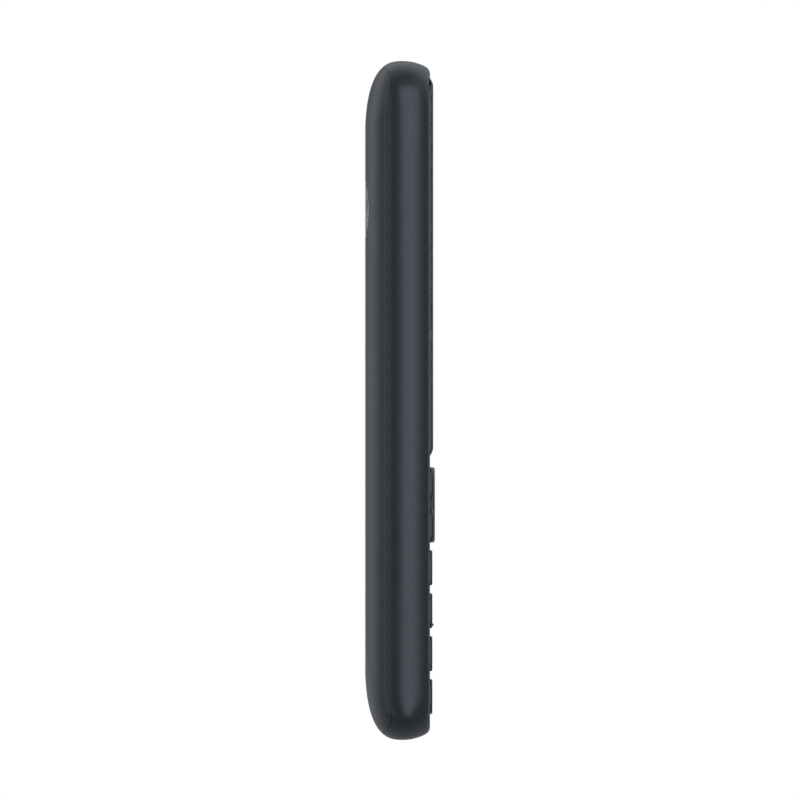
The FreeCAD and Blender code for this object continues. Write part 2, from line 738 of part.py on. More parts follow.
def make_back_cover():
    """Snap-off cover: the back shell, its rails, the camera window's seat and the sound slots."""
    raw = boolean("Common", "back_cover_shell", shell, behind_gap)
    outside = HALF_WIDTH - S.shell_wall - S.lip_clearance
    inside = outside - S.lip_thickness
    low = S.lip_end
    high = S.phone_height - S.lip_end
    rails = block(
        "cover_rails",
        SEAM - S.lip_root,
        SEAM + S.lip_reach,
        Box(-outside, -inside, low, high),
        Box(inside, outside, low, high),
    )
    with_rails = boolean("MultiFuse", "back_cover_with_rails", raw, rails)
    seat_prism = block("window_seat_prism", BACK - PAST, WIDEST - PAST, WINDOW_OUTLINE)
    seat_floor = phone_form("window_seat_form", S.window_thickness + S.window_fit / 2)
    seat = boolean("Cut", "window_seat", seat_prism, seat_floor)
    blank = boolean("Cut", "back_cover_blank", with_rails, seat)
    body = new_body("back_cover", blank)
    above = SEAM - S.lip_root / 2
    cut(body, above, BACK - PAST, WINDOW_OUTLINE.grown(-S.window_ledge))
    slots = [
        Box.about(
            S.slot_pitch * number, S.speaker_middle, S.slot_width, S.slot_height, S.slot_width * SLOT_END
        )
        for number in SLOT_NUMBERS
    ]
    cut(body, above, BACK - PAST, *slots)
    return keep(body)


def make_camera_window():
    """Glass that lies flush in the cover and follows its curve."""
    prism = block("window_prism", BACK - PAST, WIDEST - PAST, WINDOW_OUTLINE.grown(-S.window_fit))
    inside = phone_form("window_inside", S.window_thickness)
    skin = boolean("Cut", "window_skin", outer_form, inside)
    return keep(boolean("Common", "camera_window", skin, prism))


def make_display():
    """Lens with its rounded edge, its tape, the display module, its gasket and its flex."""
    lens = new_body("display_lens")
    straight = FRONT + S.lens_side_wall
    add(lens, LENS_BACK, straight, LENS_OUTLINE)
    rise = LENS_FRONT - straight
    sections = []
    for share, inset in LENS_CROWN:
        sketch = sketch_on(lens, "YZ_Plane", straight + rise * share)
        draw_outlines(sketch, [LENS_OUTLINE.grown(-S.lens_slope * inset)])
        sections.append(sketch)
    crown = lens.newObject("PartDesign::AdditiveLoft", "display_lens_crown")
    crown.Profile = (sections[0], [""])
    crown.Sections = [(sketch, [""]) for sketch in sections[1:]]
    lens.Tip = crown
    cut(lens, LENS_FRONT + PAST, LENS_BACK - PAST, EAR_SLOT)
    keep(lens)
    tape = LENS_OUTLINE.grown(-S.lens_fit * 2)
    keep(block("lens_adhesive", RECESS_FLOOR, LENS_BACK, tape, tape.grown(-S.adhesive_width)))
    keep(block("display_module", DISPLAY_BACK, DISPLAY_FRONT, DISPLAY_OUTLINE))
    hole = DISPLAY_OUTLINE.grown(-S.gasket_width, S.gasket_width)
    keep(block("display_gasket", DISPLAY_FRONT, CEILING, DISPLAY_OUTLINE, hole))
    flex = new_body("display_flex")
    bend = DISPLAY_BACK + S.display_thickness / 4
    low = S.display_bottom - S.flex_reach
    fold = S.display_bottom - S.flex_reach / 2
    half = S.flex_width / 2
    add(flex, BOARD_FRONT, BOARD_FRONT + S.flex_thickness, Box(-half, half, low, fold))
    add(flex, BOARD_FRONT, bend + S.flex_thickness, Box(-half, half, fold - S.flex_thickness, fold))
    add(flex, bend, bend + S.flex_thickness, Box(-half, half, fold - S.flex_thickness, S.display_bottom))
    keep(flex)


def make_earpiece():
    """Earpiece behind the slot, and the mesh in it."""
    front = CEILING - S.flange_gap
    middle = EAR_SLOT_Z - S.ear_slot_height
    box = Box.about(MIDDLE, middle, S.earpiece_width, S.earpiece_height, S.battery_corner)
    keep(block("earpiece", front - S.earpiece_thickness, front, box))
    mesh = EAR_SLOT.grown(-S.mesh_fit)
    keep(block("earpiece_mesh", LENS_BACK, LENS_BACK + S.mesh_thickness, mesh))


def make_keys():
    """Every plain key: a rounded cap on a wider flange. The 5 key has a raised pip."""
    for name, (box, proud, edge) in KEYS.items():
        body = new_body(name)
        top = FRONT + proud
        add(body, KEY_BOTTOM, FLANGE_FRONT, box.grown(S.key_flange))
        cap = add(body, FLANGE_FRONT, top, box)
        round_edges(body, cap, top, edge)
        if name == "key_5":
            z = S.bottom_row + S.row_pitch * 2 - S.pip_drop
            pip = add(body, top - edge, top + S.pip_radius, Round(MIDDLE, z, S.pip_radius))
            round_edges(body, pip, top + S.pip_radius, S.pip_radius * PIP_ROUNDING)
        keep(body)


def make_pad():
    """Four-way pad, the rocker plate that it tilts on, and the select key in its middle."""
    ring = new_body("four_way_pad")
    bore = Round(MIDDLE, S.pad_middle, S.pad_bore / 2)
    add(ring, PAD_BOTTOM, PAD_FLANGE_FRONT, PAD_OUTLINE.grown(S.key_flange), bore)
    cap = add(ring, PAD_FLANGE_FRONT, PAD_TOP, PAD_OUTLINE, bore)
    round_edges(ring, cap, PAD_TOP, S.pad_edge)
    keep(ring)
    plate_front = PAD_BOTTOM - S.rocker_gap
    plate = Round(MIDDLE, S.pad_middle, S.rocker_diameter / 2)
    keep(block("rocker_plate", plate_front - S.rocker_thickness, plate_front, plate, bore))
    select = new_body("select_key")
    top = PAD_TOP - S.select_drop
    cap = add(select, MAT_TOP, top, Round(MIDDLE, S.pad_middle, S.select_diameter / 2))
    round_edges(select, cap, top, S.pad_edge)
    keep(select)


def switch_places():
    """Middle of every switch under the keypad."""
    places = []
    for box, _, _ in KEYS.values():
        left, right, low, high = box.sides
        places.append(((left + right) / 2, (low + high) / 2))
    places.append((MIDDLE, S.pad_middle))
    reach = (S.pad_bore + S.rocker_diameter) / 4
    for sign in SIGNS:
        places.append((sign * reach, S.pad_middle))
        places.append((MIDDLE, S.pad_middle + sign * reach))
    return places


def make_keypad_layers():
    """Silicone mat with pads and plungers, and the sheet of domes under it."""
    side = S.side_key_outer + S.mat_margin - S.key_fit
    low = S.bottom_row - S.key_height / 2 - S.mat_margin + S.key_fit
    high = S.pad_middle + PAD_RADIUS + S.key_flange
    outline = Box(-side, side, low, high, S.key_corner)
    holes = [
        Round(y, z, S.boss_radius + S.boss_clearance) for y, z in SCREW_PLACES if z is LOW_SCREW_Z
    ]
    mat = new_body("keypad_mat")
    add(mat, MAT_BOTTOM, MAT_TOP, outline, *holes)
    for box, _, _ in KEYS.values():
        add(mat, MAT_TOP, KEY_BOTTOM, box.grown(-S.key_flange))
    plungers = [Round(y, z, S.plunger_radius) for y, z in switch_places()[: len(KEYS) + 1]]
    plungers += [Round(y, z, S.plunger_radius * PAD_PLUNGER) for y, z in switch_places()[len(KEYS) + 1 :]]
    add(mat, DOME_TOP + S.dome_clearance, MAT_BOTTOM, *plungers)
    keep(mat)
    sheet_body = new_body("dome_sheet")
    add(sheet_body, BOARD_FRONT, DOME_BASE, outline.grown(-S.key_fit), *holes)
    domes = [Round(y, z, S.dome_radius) for y, z in switch_places()[: len(KEYS)]]
    domes += [Round(y, z, S.dome_radius * PAD_DOME) for y, z in switch_places()[len(KEYS) :]]
    top = add(sheet_body, DOME_BASE, DOME_TOP, *domes)
    round_edges(sheet_body, top, DOME_TOP, S.dome_height * DOME_ROUNDING)
    keep(sheet_body)


def make_board():
    """Circuit board with notches for the headset socket and holes for the bosses."""
    board = new_body("circuit_board")
    margin = S.board_margin
    outline = Box(
        -HALF_WIDTH + margin,
        HALF_WIDTH - margin,
        margin,
        S.phone_height - margin,
        S.corner_radius - margin,
    )
    holes = [Round(y, z, S.boss_radius + S.boss_clearance) for y, z in SCREW_PLACES]
    add(board, BOARD_BACK, BOARD_FRONT, outline, *holes)
    notch = Box(
        JACK_Y - S.jack_body_width / 2 - S.battery_fit,
        JACK_Y + S.jack_body_width / 2 + S.battery_fit,
        JACK_BOTTOM - S.battery_fit,
        S.phone_height,
    )
    cut(board, BOARD_FRONT + PAST, BOARD_BACK - PAST, notch)
    return keep(board)


def make_chassis():
    """Inner frame: battery bay, openings for the card holders, deck at the top, screw seats."""
    form = phone_form("chassis_form", S.chassis_clearance)
    slab = block(
        "chassis_slab",
        CHASSIS_BACK,
        CHASSIS_FRONT,
        Box(-HALF_WIDTH, HALF_WIDTH, MIDDLE, S.phone_height),
    )
    blank = boolean("Common", "chassis_blank", form, slab)
    body = new_body("chassis", blank)
    fit = S.battery_fit
    behind = CHASSIS_BACK - PAST
    ahead = CHASSIS_FRONT + PAST
    cut(body, BAY_BACK, behind, BATTERY_OUTLINE.grown(fit))
    can_side = S.can_width / 2 + fit
    can_top = S.can_bottom + S.can_pitch + S.can_height
    cut(body, ahead, BAY_FRONT, Box(-can_side, can_side, S.can_bottom - fit, can_top + fit))
    holder_side = S.holder_pitch * 1.5 + fit
    holder_reach = S.sim_height / 2 + fit
    cut(
        body,
        ahead,
        behind,
        Box(-holder_side, holder_side, S.holder_middle - holder_reach, S.holder_middle + holder_reach),
    )
    deck = CHASSIS_BACK + S.deck_thickness
    deck_low = S.window_middle - S.camera_body / 2 - fit
    deck_side = S.top_screw_y + S.boss_radius
    deck_high = TOP_SCREW_Z - S.boss_radius - S.screw_head_radius
    cut(body, ahead, deck, Box(-deck_side, deck_side, deck_low, deck_high))
    top_side = S.top_screw_y - S.boss_radius - S.screw_head_radius
    top_high = S.phone_height - S.chassis_clearance
    cut(body, ahead, deck, Box(-top_side, top_side, deck_high - fit, top_high - S.deck_thickness))
    jack = Box(
        JACK_Y - S.jack_body_width / 2 - fit,
        JACK_Y + S.jack_body_width / 2 + fit,
        JACK_BOTTOM - fit,
        S.phone_height,
    )
    cut(body, ahead, JACK_X - S.jack_body_depth / 2 - fit, jack)
    cut(body, deck + PAST / 2, behind, BARREL_OUTLINE.grown(fit))
    cut(body, BAY_FRONT, behind, SPEAKER_OUTLINE.grown(fit))
    port_side = S.port_width / 2 + fit
    port = Box(-port_side, port_side, -S.port_inset, PORT_TOP + fit)
    cut(body, ahead, BOARD_BACK - S.port_depth - fit, port)
    microphone = Box.about(
        S.microphone_offset, MICROPHONE_Z, S.microphone_width, S.microphone_height * 3
    )
    cut(body, ahead, BOARD_BACK - S.microphone_thickness * 2, microphone.grown(fit))
    connector = Box.about(MIDDLE, CONNECTOR_Z, S.connector_width, S.connector_height)
    cut(body, BAY_BACK, behind, connector)
    seats = [Round(y, z, S.screw_head_radius + fit) for y, z in SCREW_PLACES]
    cut(body, BAY_FRONT, behind, *seats)
    bores = [Round(y, z, S.screw_radius + S.key_fit) for y, z in SCREW_PLACES]
    cut(body, ahead, BAY_FRONT - PAST, *bores)
    return keep(body)


def make_screws():
    """Six cross-recessed screws through the chassis into the housing's bosses."""
    body = new_body("chassis_screws")
    back = BAY_FRONT - S.screw_head_thickness
    heads = [Round(y, z, S.screw_head_radius) for y, z in SCREW_PLACES]
    add(body, back, BAY_FRONT, *heads)
    shanks = [Round(y, z, S.screw_radius) for y, z in SCREW_PLACES]
    add(body, BAY_FRONT, BAY_FRONT + S.screw_length, *shanks)
    recess = back + S.screw_head_thickness / 2
    wide = S.screw_head_radius
    thin = S.screw_radius / 2
    cut(body, recess, back - PAST, *(Box.about(y, z, wide, thin) for y, z in SCREW_PLACES))
    cut(body, recess, back - PAST, *(Box.about(y, z, thin, wide) for y, z in SCREW_PLACES))
    return keep(body)


def make_battery():
    """Battery with its contact pads' ledge, the connector and its three spring contacts."""
    back = BAY_BACK - S.chassis_gap - S.battery_thickness
    battery = new_body("battery")
    cell = add(battery, back, BAY_BACK - S.chassis_gap, BATTERY_OUTLINE)
    round_edges(battery, cell, back, S.battery_edge)
    keep(battery)
    front = BAY_BACK
    rear = CHASSIS_BACK + S.deck_thickness
    connector = Box.about(MIDDLE, CONNECTOR_Z, S.connector_width, S.connector_height)
    keep(block("battery_connector", rear, front, connector.grown(-S.key_fit)))
    low = BATTERY_TOP + S.mesh_fit
    high = CONNECTOR_Z - S.connector_height / 2 + S.key_fit
    springs = [
        Box(
            S.contact_pitch * number - S.contact_width / 2,
            S.contact_pitch * number + S.contact_width / 2,
            low,
            high,
        )
        for number in (-1, 0, 1)
    ]
    keep(block("battery_contacts", rear + S.deck_thickness / 2, front - S.deck_thickness / 2, *springs))


def make_board_parts():
    """Shield cans, the chips under them, card holders, microphone and its boot."""
    for number, label in enumerate(("lower_shield_can", "upper_shield_can")):
        low = S.can_bottom + S.can_pitch * number
        box = Box(-S.can_width / 2, S.can_width / 2, low, low + S.can_height)
        can = block(label, BOARD_BACK - S.can_thickness, BOARD_BACK, box)
        cut(can, BOARD_BACK, BOARD_BACK - S.can_thickness + S.holder_wall, box.grown(-S.holder_wall))
        keep(can)
    lower = S.can_bottom + S.can_height / 2
    upper = lower + S.can_pitch
    quarter = S.can_width / 4
    for label, y, z, side in (
        ("processor_chip", -quarter, lower, S.processor_side),
        ("memory_chip", quarter, lower, S.memory_side),
        ("radio_chip", -quarter, upper, S.radio_side),
        ("power_chip", quarter, upper, S.power_side),
    ):
        box = Box.about(y, z, side, side)
        keep(block(label, BOARD_BACK - S.chip_thickness, BOARD_BACK, box))
    for number, label in ((-1, "sim_holder_1"), (0, "sim_holder_2"), (1, "memory_card_holder")):
        box = Box.about(S.holder_pitch * number, S.holder_middle, S.sim_width, S.sim_height)
        holder = block(label, BOARD_BACK - S.holder_thickness, BOARD_BACK, box)
        left, right, low, high = box.grown(-S.holder_wall * 2).sides
        mouth = Box(left, right, low, high + S.holder_wall * 4)
        cut(holder, BOARD_BACK - S.holder_wall, BOARD_BACK - S.holder_thickness + S.holder_wall, mouth)
        window = Box.about(S.holder_pitch * number, S.holder_middle, S.sim_width / 2, S.sim_height / 2)
        cut(holder, BOARD_BACK - S.holder_thickness / 2, BOARD_BACK - S.holder_thickness - PAST, window)
        keep(holder)
    box = Box.about(S.microphone_offset, MICROPHONE_Z, S.microphone_width, S.microphone_height)
    front = BOARD_BACK
    keep(block("microphone", front - S.microphone_thickness, front, box))
    left, right, low, _ = box.sides
    boot = block(
        "microphone_boot",
        front - S.microphone_thickness * 1.5,
        front,
        Box(left, right, S.shell_wall + S.flange_gap, low),
    )
    hole = Round(front - S.microphone_thickness / 2, S.microphone_offset, S.sound_hole_radius)
    cut(boot, low + PAST, S.shell_wall - PAST, hole, role="XY_Plane")
    keep(boot)


def make_sockets():
    """Headset socket in the top end and charging socket in the bottom end."""
    headset = new_body("headset_socket")
    body_box = Box.about(JACK_X, JACK_Y, S.jack_body_depth, S.jack_body_width)
    add(headset, JACK_BOTTOM, JACK_TOP, body_box, role="XY_Plane")
    bore = Round(JACK_X, JACK_Y, S.jack_radius)
    cut(headset, JACK_TOP, JACK_BOTTOM, bore, role="XY_Plane")
    keep(headset)
    charger = new_body("charging_socket")
    shell_box = Box.about(PORT_X, MIDDLE, S.port_depth, S.port_width, S.port_wall * 2)
    add(charger, S.port_inset, PORT_TOP, shell_box, role="XY_Plane")
    cavity = Box.about(
        PORT_X, MIDDLE, S.port_depth - S.port_wall * 2, S.port_width - S.port_wall * 2, S.port_wall
    )
    floor = PORT_TOP - S.port_wall
    cut(charger, floor, S.port_inset - PAST, cavity, role="XY_Plane")
    keep(charger)
    tongue = new_body("charging_socket_tongue")
    box = Box.about(PORT_X + S.port_wall, MIDDLE, S.port_tongue_depth, S.port_tongue_width)
    add(tongue, S.port_inset + S.port_wall * 2, floor, box, role="XY_Plane")
    keep(tongue)


def make_camera():
    """Camera module with its barrel, its front lens and the flash LED beside it."""
    module = new_body("camera_module")
    front = BOARD_BACK - S.camera_stand
    deck = CHASSIS_BACK + S.deck_thickness
    add(module, deck + S.mesh_fit, front, CAMERA_OUTLINE)
    back = CHASSIS_BACK - S.camera_barrel_length + S.deck_thickness
    add(module, back, deck + S.mesh_fit, BARREL_OUTLINE)
    seat = Round(S.camera_offset, S.window_middle, S.camera_lens_radius)
    cut(module, back + S.window_fit, back - PAST, seat)
    keep(module)
    keep(block("camera_lens", back + S.mesh_fit, back + S.window_fit, seat))
    flash = Box.about(-S.camera_offset, S.window_middle, S.flash_size, S.flash_size)
    keep(block("flash_led", CHASSIS_BACK - S.flash_thickness, CHASSIS_BACK, flash))


def make_sound_and_motion():
    """Loudspeaker with its foam ring, vibration motor with its off-centre weight, antenna film."""
    keep(block("loudspeaker", SPEAKER_BACK, BAY_FRONT, SPEAKER_OUTLINE))
    hole = SPEAKER_OUTLINE.grown(-S.speaker_gasket_thickness, S.battery_corner)
    back = SPEAKER_BACK - S.speaker_gasket_thickness
    keep(block("speaker_gasket", back, SPEAKER_BACK, SPEAKER_OUTLINE, hole))
    x = BOARD_BACK - S.motor_clearance - S.motor_radius
    motor = doc.addObject("Part::Cylinder", "vibration_motor")
    motor.Label = "vibration_motor"
    motor.setExpression("Radius", S.motor_radius.formula)
    motor.setExpression("Height", S.motor_length.formula)
    lie_along_y(motor, x, S.motor_start, S.motor_height)
    keep(motor)
    shaft = doc.addObject("Part::Cylinder", "motor_shaft")
    shaft.setExpression("Radius", S.motor_shaft_radius.formula)
    shaft.setExpression("Height", (S.weight_gap + S.weight_length).formula)
    end = S.motor_start + S.motor_length
    lie_along_y(shaft, x, end, S.motor_height)
    half_disc = doc.addObject("Part::Cylinder", "motor_half_disc")
    half_disc.Angle = 180
    half_disc.setExpression("Radius", S.motor_radius.formula)
    half_disc.setExpression("Height", S.weight_length.formula)
    lie_along_y(half_disc, x, end + S.weight_gap, S.motor_height)
    keep(boolean("MultiFuse", "vibration_weight", shaft, half_disc))
    z = S.phone_height - S.antenna_drop
    y = -S.jack_offset + S.antenna_width / 4
    film = Box.about(y, z, S.antenna_width, S.antenna_height, S.battery_corner)
    keep(block("antenna", CHASSIS_BACK - S.antenna_thickness, CHASSIS_BACK, film))


def lie_along_y(cylinder, x, y, z):
    """Lays a cylinder along +Y from a point."""
    cylinder.Placement.Rotation = FreeCAD.Rotation(X_AXIS, -90)
    for name, size in zip("xyz", (x, y, z)):
        cylinder.setExpression(f"Placement.Base.{name}", size.formula)


def check_and_write():
    """Stops at a failed object or shape, then writes one STEP file per piece."""
    doc.recompute()
    failed = [item.Name for item in doc.Objects if {"Invalid", "Error"} & set(item.State)]
    if failed:
        raise RuntimeError(f"objects that failed: {failed}")
    for node in nodes:
        shape = node.Shape
        if shape.isNull() or not shape.isValid() or not shape.Solids:
            raise RuntimeError(f"{node.Label} has no valid solid")
    os.makedirs("parts", exist_ok=True)
    for node in nodes:
        node.Shape.exportStep(os.path.join("parts", f"{node.Label}.step"))
        print(f"{node.Label}: {len(node.Shape.Solids)} solid(s), {node.Shape.Volume:.1f} mm3")


make_front_housing()
make_back_cover()
make_camera_window()
make_display()
make_earpiece()
make_keys()
make_pad()
make_keypad_layers()
make_board()
make_chassis()
make_screws()
make_battery()
make_board_parts()
make_sockets()
make_camera()
make_sound_and_motion()
check_and_write()
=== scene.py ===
"""Looks of a keypad phone standing upright, in metres: +X is the front with screen and keys, +Z up."""

import math

import bpy
from bpy.props import FloatProperty, FloatVectorProperty, PointerProperty
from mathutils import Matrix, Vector


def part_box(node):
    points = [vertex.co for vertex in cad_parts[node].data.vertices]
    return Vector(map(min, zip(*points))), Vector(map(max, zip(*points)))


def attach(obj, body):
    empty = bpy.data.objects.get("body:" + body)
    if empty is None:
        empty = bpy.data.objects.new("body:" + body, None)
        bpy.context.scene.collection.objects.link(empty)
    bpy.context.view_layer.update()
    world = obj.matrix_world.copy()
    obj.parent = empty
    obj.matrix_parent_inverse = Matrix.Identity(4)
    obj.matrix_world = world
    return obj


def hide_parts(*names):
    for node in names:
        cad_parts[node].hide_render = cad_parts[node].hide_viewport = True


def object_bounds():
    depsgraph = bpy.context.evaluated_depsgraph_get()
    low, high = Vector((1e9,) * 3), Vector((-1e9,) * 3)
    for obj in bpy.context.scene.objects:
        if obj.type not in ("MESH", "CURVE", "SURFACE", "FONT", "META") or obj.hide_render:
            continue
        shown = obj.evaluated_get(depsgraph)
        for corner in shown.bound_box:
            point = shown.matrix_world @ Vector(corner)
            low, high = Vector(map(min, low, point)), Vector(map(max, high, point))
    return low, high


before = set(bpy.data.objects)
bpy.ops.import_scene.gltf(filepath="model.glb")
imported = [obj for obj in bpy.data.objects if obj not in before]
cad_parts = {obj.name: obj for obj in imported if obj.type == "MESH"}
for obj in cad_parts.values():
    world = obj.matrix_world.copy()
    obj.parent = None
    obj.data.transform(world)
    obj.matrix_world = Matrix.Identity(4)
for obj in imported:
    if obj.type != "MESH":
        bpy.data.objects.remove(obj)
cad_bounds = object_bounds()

bl_info = {
    "name": "Keypad Phone Looks",
    "version": (1, 0, 0),
    "blender": (4, 5, 0),
    "location": "View3D > Sidebar > Phone",
    "description": "Finishes the parts of a keypad phone and sets up its studio",
    "category": "Object",
}

MM = 0.001
FRONT_FACE = (math.pi / 2, 0, math.pi / 2)
FACE_ACROSS_X = (0, math.pi / 2, 0)
SIGNS = (-1, 1)

# Corners nearer than the first are merged, and places nearer than the second are taken as the same
MERGE_WITHIN = 1e-6
SAME_WITHIN = 1e-7

# Radius that stands for a closed end of a round piece
POINT = 1e-7

NUMBER_KEYS = {
    "key_1": "1", "key_2": "2", "key_3": "3",
    "key_4": "4", "key_5": "5", "key_6": "6",
    "key_7": "7", "key_8": "8", "key_9": "9",
    "key_star": "*", "key_0": "0", "key_hash": "#",
}
SOFT_KEYS = ("soft_key_left", "soft_key_right")

# Keys with a handset, the mark's ink and its turn, lifted on one and lying flat on the other
HANDSET_KEYS = (("call_key", "call_ink", math.radians(-135)), ("end_key", "end_ink", 0.0))


def colour_property(name, description, red, green, blue):
    return FloatVectorProperty(
        name=name, description=description, default=(red, green, blue),
        subtype="COLOR", size=3, min=0, max=1,
    )


def length_property(name, description, millimetres):
    return FloatProperty(name=name, description=description, default=millimetres * MM, unit="LENGTH")


def light_property(name, description, default, unit="NONE"):
    return FloatProperty(name=name, description=description, default=default, unit=unit)


class PhoneSizes(bpy.types.PropertyGroup):
    """Sizes of what is added to the solid parts."""

    legend_height: length_property("Legend height", "Size of the numbers on the keys", 4.6)
    ink_thickness: length_property("Ink thickness", "Printed marks above their surface", 0.012)
    arrow_size: length_property("Arrow size", "Radius of the pad's direction marks", 0.62)
    arrow_reach: length_property("Arrow reach", "Pad's middle to its direction marks", 5.5)
    print_border: length_property("Print border", "Printed frame over the display's edge", 2.2)
    weave_across: length_property("Texture pitch", "Spacing of the cover's fine diagonal ridges", 0.72)
    weave_along: length_property("Ridge length", "Length of the cover's fine diagonal ridges", 0.95)


class PhoneColours(bpy.types.PropertyGroup):
    """Colours that an owner could choose."""

    shell: colour_property("Shell", "Housing's plastic", 0.0215, 0.0250, 0.0290)
    cover: colour_property("Cover", "Back cover's plastic", 0.0215, 0.0250, 0.0290)
    keys: colour_property("Keys", "Key caps", 0.0210, 0.0245, 0.0285)
    legends: colour_property("Legends", "Numbers and marks on the keys", 0.62, 0.64, 0.66)
    call: colour_property("Call", "Mark on the call key", 0.05, 0.42, 0.10)
    end: colour_property("End", "Mark on the end key", 0.55, 0.035, 0.03)


class PhoneStudio(bpy.types.PropertyGroup):
    """Light of the studio."""

    strip_light: light_property("Strip light", "Tall light beside the camera", 7.0, "POWER")
    front_light: light_property("Front light", "High light on the screen side", 1.2, "POWER")
    side_light: light_property("Side light", "Narrow light on the cover's side", 2.1, "POWER")
    fill: light_property("Fill", "Light of the room in front of the object", 0.245)
    backdrop: light_property("Backdrop", "Light of the room behind the object", 0.68)
    sky: light_property("Sky", "Added light of the room high up behind the object", 0.26)
    floor_glow: light_property("Floor glow", "The lamps' mirror images in the floor", 1.9)


# Selecting and shaping

def middle_of(node, x=None):
    """The middle of a solid part's box, or the place with this X beside that middle."""
    low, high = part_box(node)
    middle = (low + high) / 2
    if x is not None:
        middle.x = x
    return middle


def sides_of(node, back, front, inset=0.0):
    """Corners of a solid part's box with other places in X, set in from its sides."""
    low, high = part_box(node)
    return (back, low.y + inset, low.z + inset), (front, high.y - inset, high.z - inset)


def clear_selection():
    active = bpy.context.view_layer.objects.active
    if active is not None and active.mode != "OBJECT":
        bpy.ops.object.mode_set(mode="OBJECT")
    bpy.ops.object.select_all(action="DESELECT")


def pick(*pieces):
    """Selects these pieces alone. The first is the active one."""
    clear_selection()
    for piece in pieces:
        piece.select_set(True)
    bpy.context.view_layer.objects.active = pieces[0]
    return pieces[0]


def settle(name, scale=None):
    """Names the piece just made and puts its place and scale into its mesh."""
    piece = bpy.context.object
    if piece.mode != "OBJECT":
        bpy.ops.object.mode_set(mode="OBJECT")
    if scale is not None:
        piece.scale = scale
    bpy.ops.object.transform_apply(location=True, rotation=True, scale=True)
    piece.name = piece.data.name = name
    return piece


def choose(piece, kind, test):
    """Leaves the piece in edit mode with the faces or edges that pass a test selected."""
    pick(piece)
    bpy.ops.object.mode_set(mode="EDIT")
    bpy.ops.mesh.select_mode(type=kind)
    bpy.ops.mesh.select_all(action="DESELECT")
    bpy.ops.object.mode_set(mode="OBJECT")
    mesh = piece.data
    if kind == "FACE":
        for face in mesh.polygons:
            face.select = test(face.center, face.normal)
    else:
        for edge in mesh.edges:
            first, second = (mesh.vertices[index].co for index in edge.vertices)
            edge.select = test(first, second)
    bpy.ops.object.mode_set(mode="EDIT")


def edit_all(piece):
    """Leaves the piece in edit mode with all of it selected."""
    pick(piece)
    bpy.ops.object.mode_set(mode="EDIT")
    bpy.ops.mesh.select_all(action="SELECT")


def finish_mode(piece, outward=False):
    if outward:
        bpy.ops.mesh.select_all(action="SELECT")
        bpy.ops.mesh.normals_make_consistent(inside=False)
    bpy.ops.object.mode_set(mode="OBJECT")
    return piece


def modify(piece, kind, **settings):
    """Adds a modifier, sets it and applies it."""
    pick(piece)
    modifier = piece.modifiers.new(kind.lower(), kind)
    for setting, value in settings.items():
        setattr(modifier, setting, value)
    bpy.ops.object.modifier_apply(modifier=modifier.name)
    return piece


def smooth(piece, angle=35):
    pick(piece)
    bpy.ops.object.shade_smooth_by_angle(angle=math.radians(angle))
    return piece


def carve(piece, tool, keep_inside=False):
    """Cuts a tool out of a piece, or keeps what lies inside it. The tool is used up."""
    modify(
        piece, "BOOLEAN", operation="INTERSECT" if keep_inside else "DIFFERENCE",
        solver="EXACT", object=tool,
    )
    bpy.data.objects.remove(tool)
    return piece


def join(name, pieces):
    pick(*pieces)
    bpy.ops.object.join()
    return settle(name)


def repeated(name, piece, offsets):
    """A piece joined with its copies, each moved from the first by an offset."""
    copies = [piece]
    for offset in offsets:
        pick(piece)
        bpy.ops.object.duplicate()
        bpy.ops.transform.translate(value=offset)
        copies.append(settle(f"{name}_copy"))
    return join(name, copies)


def along_x(first, second):
    """Whether an edge between two places runs along X."""
    return all(abs(first[axis] - second[axis]) < SAME_WITHIN for axis in (1, 2))


def plate(name, low, high, corner=0.0, rim=0.0, steps=6):
    """A plate between two corners, its thickness along X, with round corners and softened rims."""
    low, high = Vector(low), Vector(high)
    clear_selection()
    bpy.ops.mesh.primitive_cube_add(size=1, location=(low + high) / 2)
    piece = settle(name, high - low)
    if corner:
        choose(piece, "EDGE", along_x)
        bpy.ops.mesh.bevel(offset=corner, segments=steps, affect="EDGES")
        finish_mode(piece)
    if rim:
        modify(piece, "BEVEL", width=rim, segments=2, limit_method="ANGLE", angle_limit=math.radians(30))
        smooth(piece)
    return piece


def turned(name, middle, profile, sides=48, along=0):
    """A round piece: rings of a radius and a depth along an axis, in millimetres, joined in turn."""
    direction = Vector([float(axis == along) for axis in range(3)])
    rings = [(max(radius * MM, POINT), depth * MM) for radius, depth in profile]
    radius, depth = rings[0]
    clear_selection()
    bpy.ops.mesh.primitive_circle_add(
        vertices=sides, radius=radius, fill_type="NOTHING", location=middle + direction * depth,
        rotation=FACE_ACROSS_X if along == 0 else (0, 0, 0),
    )
    piece = settle(name)
    bpy.ops.object.mode_set(mode="EDIT")
    bpy.ops.mesh.select_mode(type="VERT")
    bpy.ops.mesh.select_all(action="SELECT")
    for new_radius, new_depth in rings[1:]:
        bpy.ops.mesh.extrude_region_move(
            TRANSFORM_OT_translate={"value": direction * (new_depth - depth)}
        )
        ratio = new_radius / radius
        size = [1.0 if axis == along else ratio for axis in range(3)]
        bpy.ops.transform.resize(value=size, center_override=middle + direction * new_depth)
        radius, depth = new_radius, new_depth
    bpy.ops.mesh.select_all(action="SELECT")
    bpy.ops.mesh.remove_doubles(threshold=MERGE_WITHIN)
    return finish_mode(piece, outward=True)


def flat(name, middle, size, rotation=(0, 0, 0)):
    """A flat rectangle without thickness."""
    clear_selection()
    bpy.ops.mesh.primitive_plane_add(size=1, location=middle, rotation=rotation)
    return settle(name, (*size, 1))


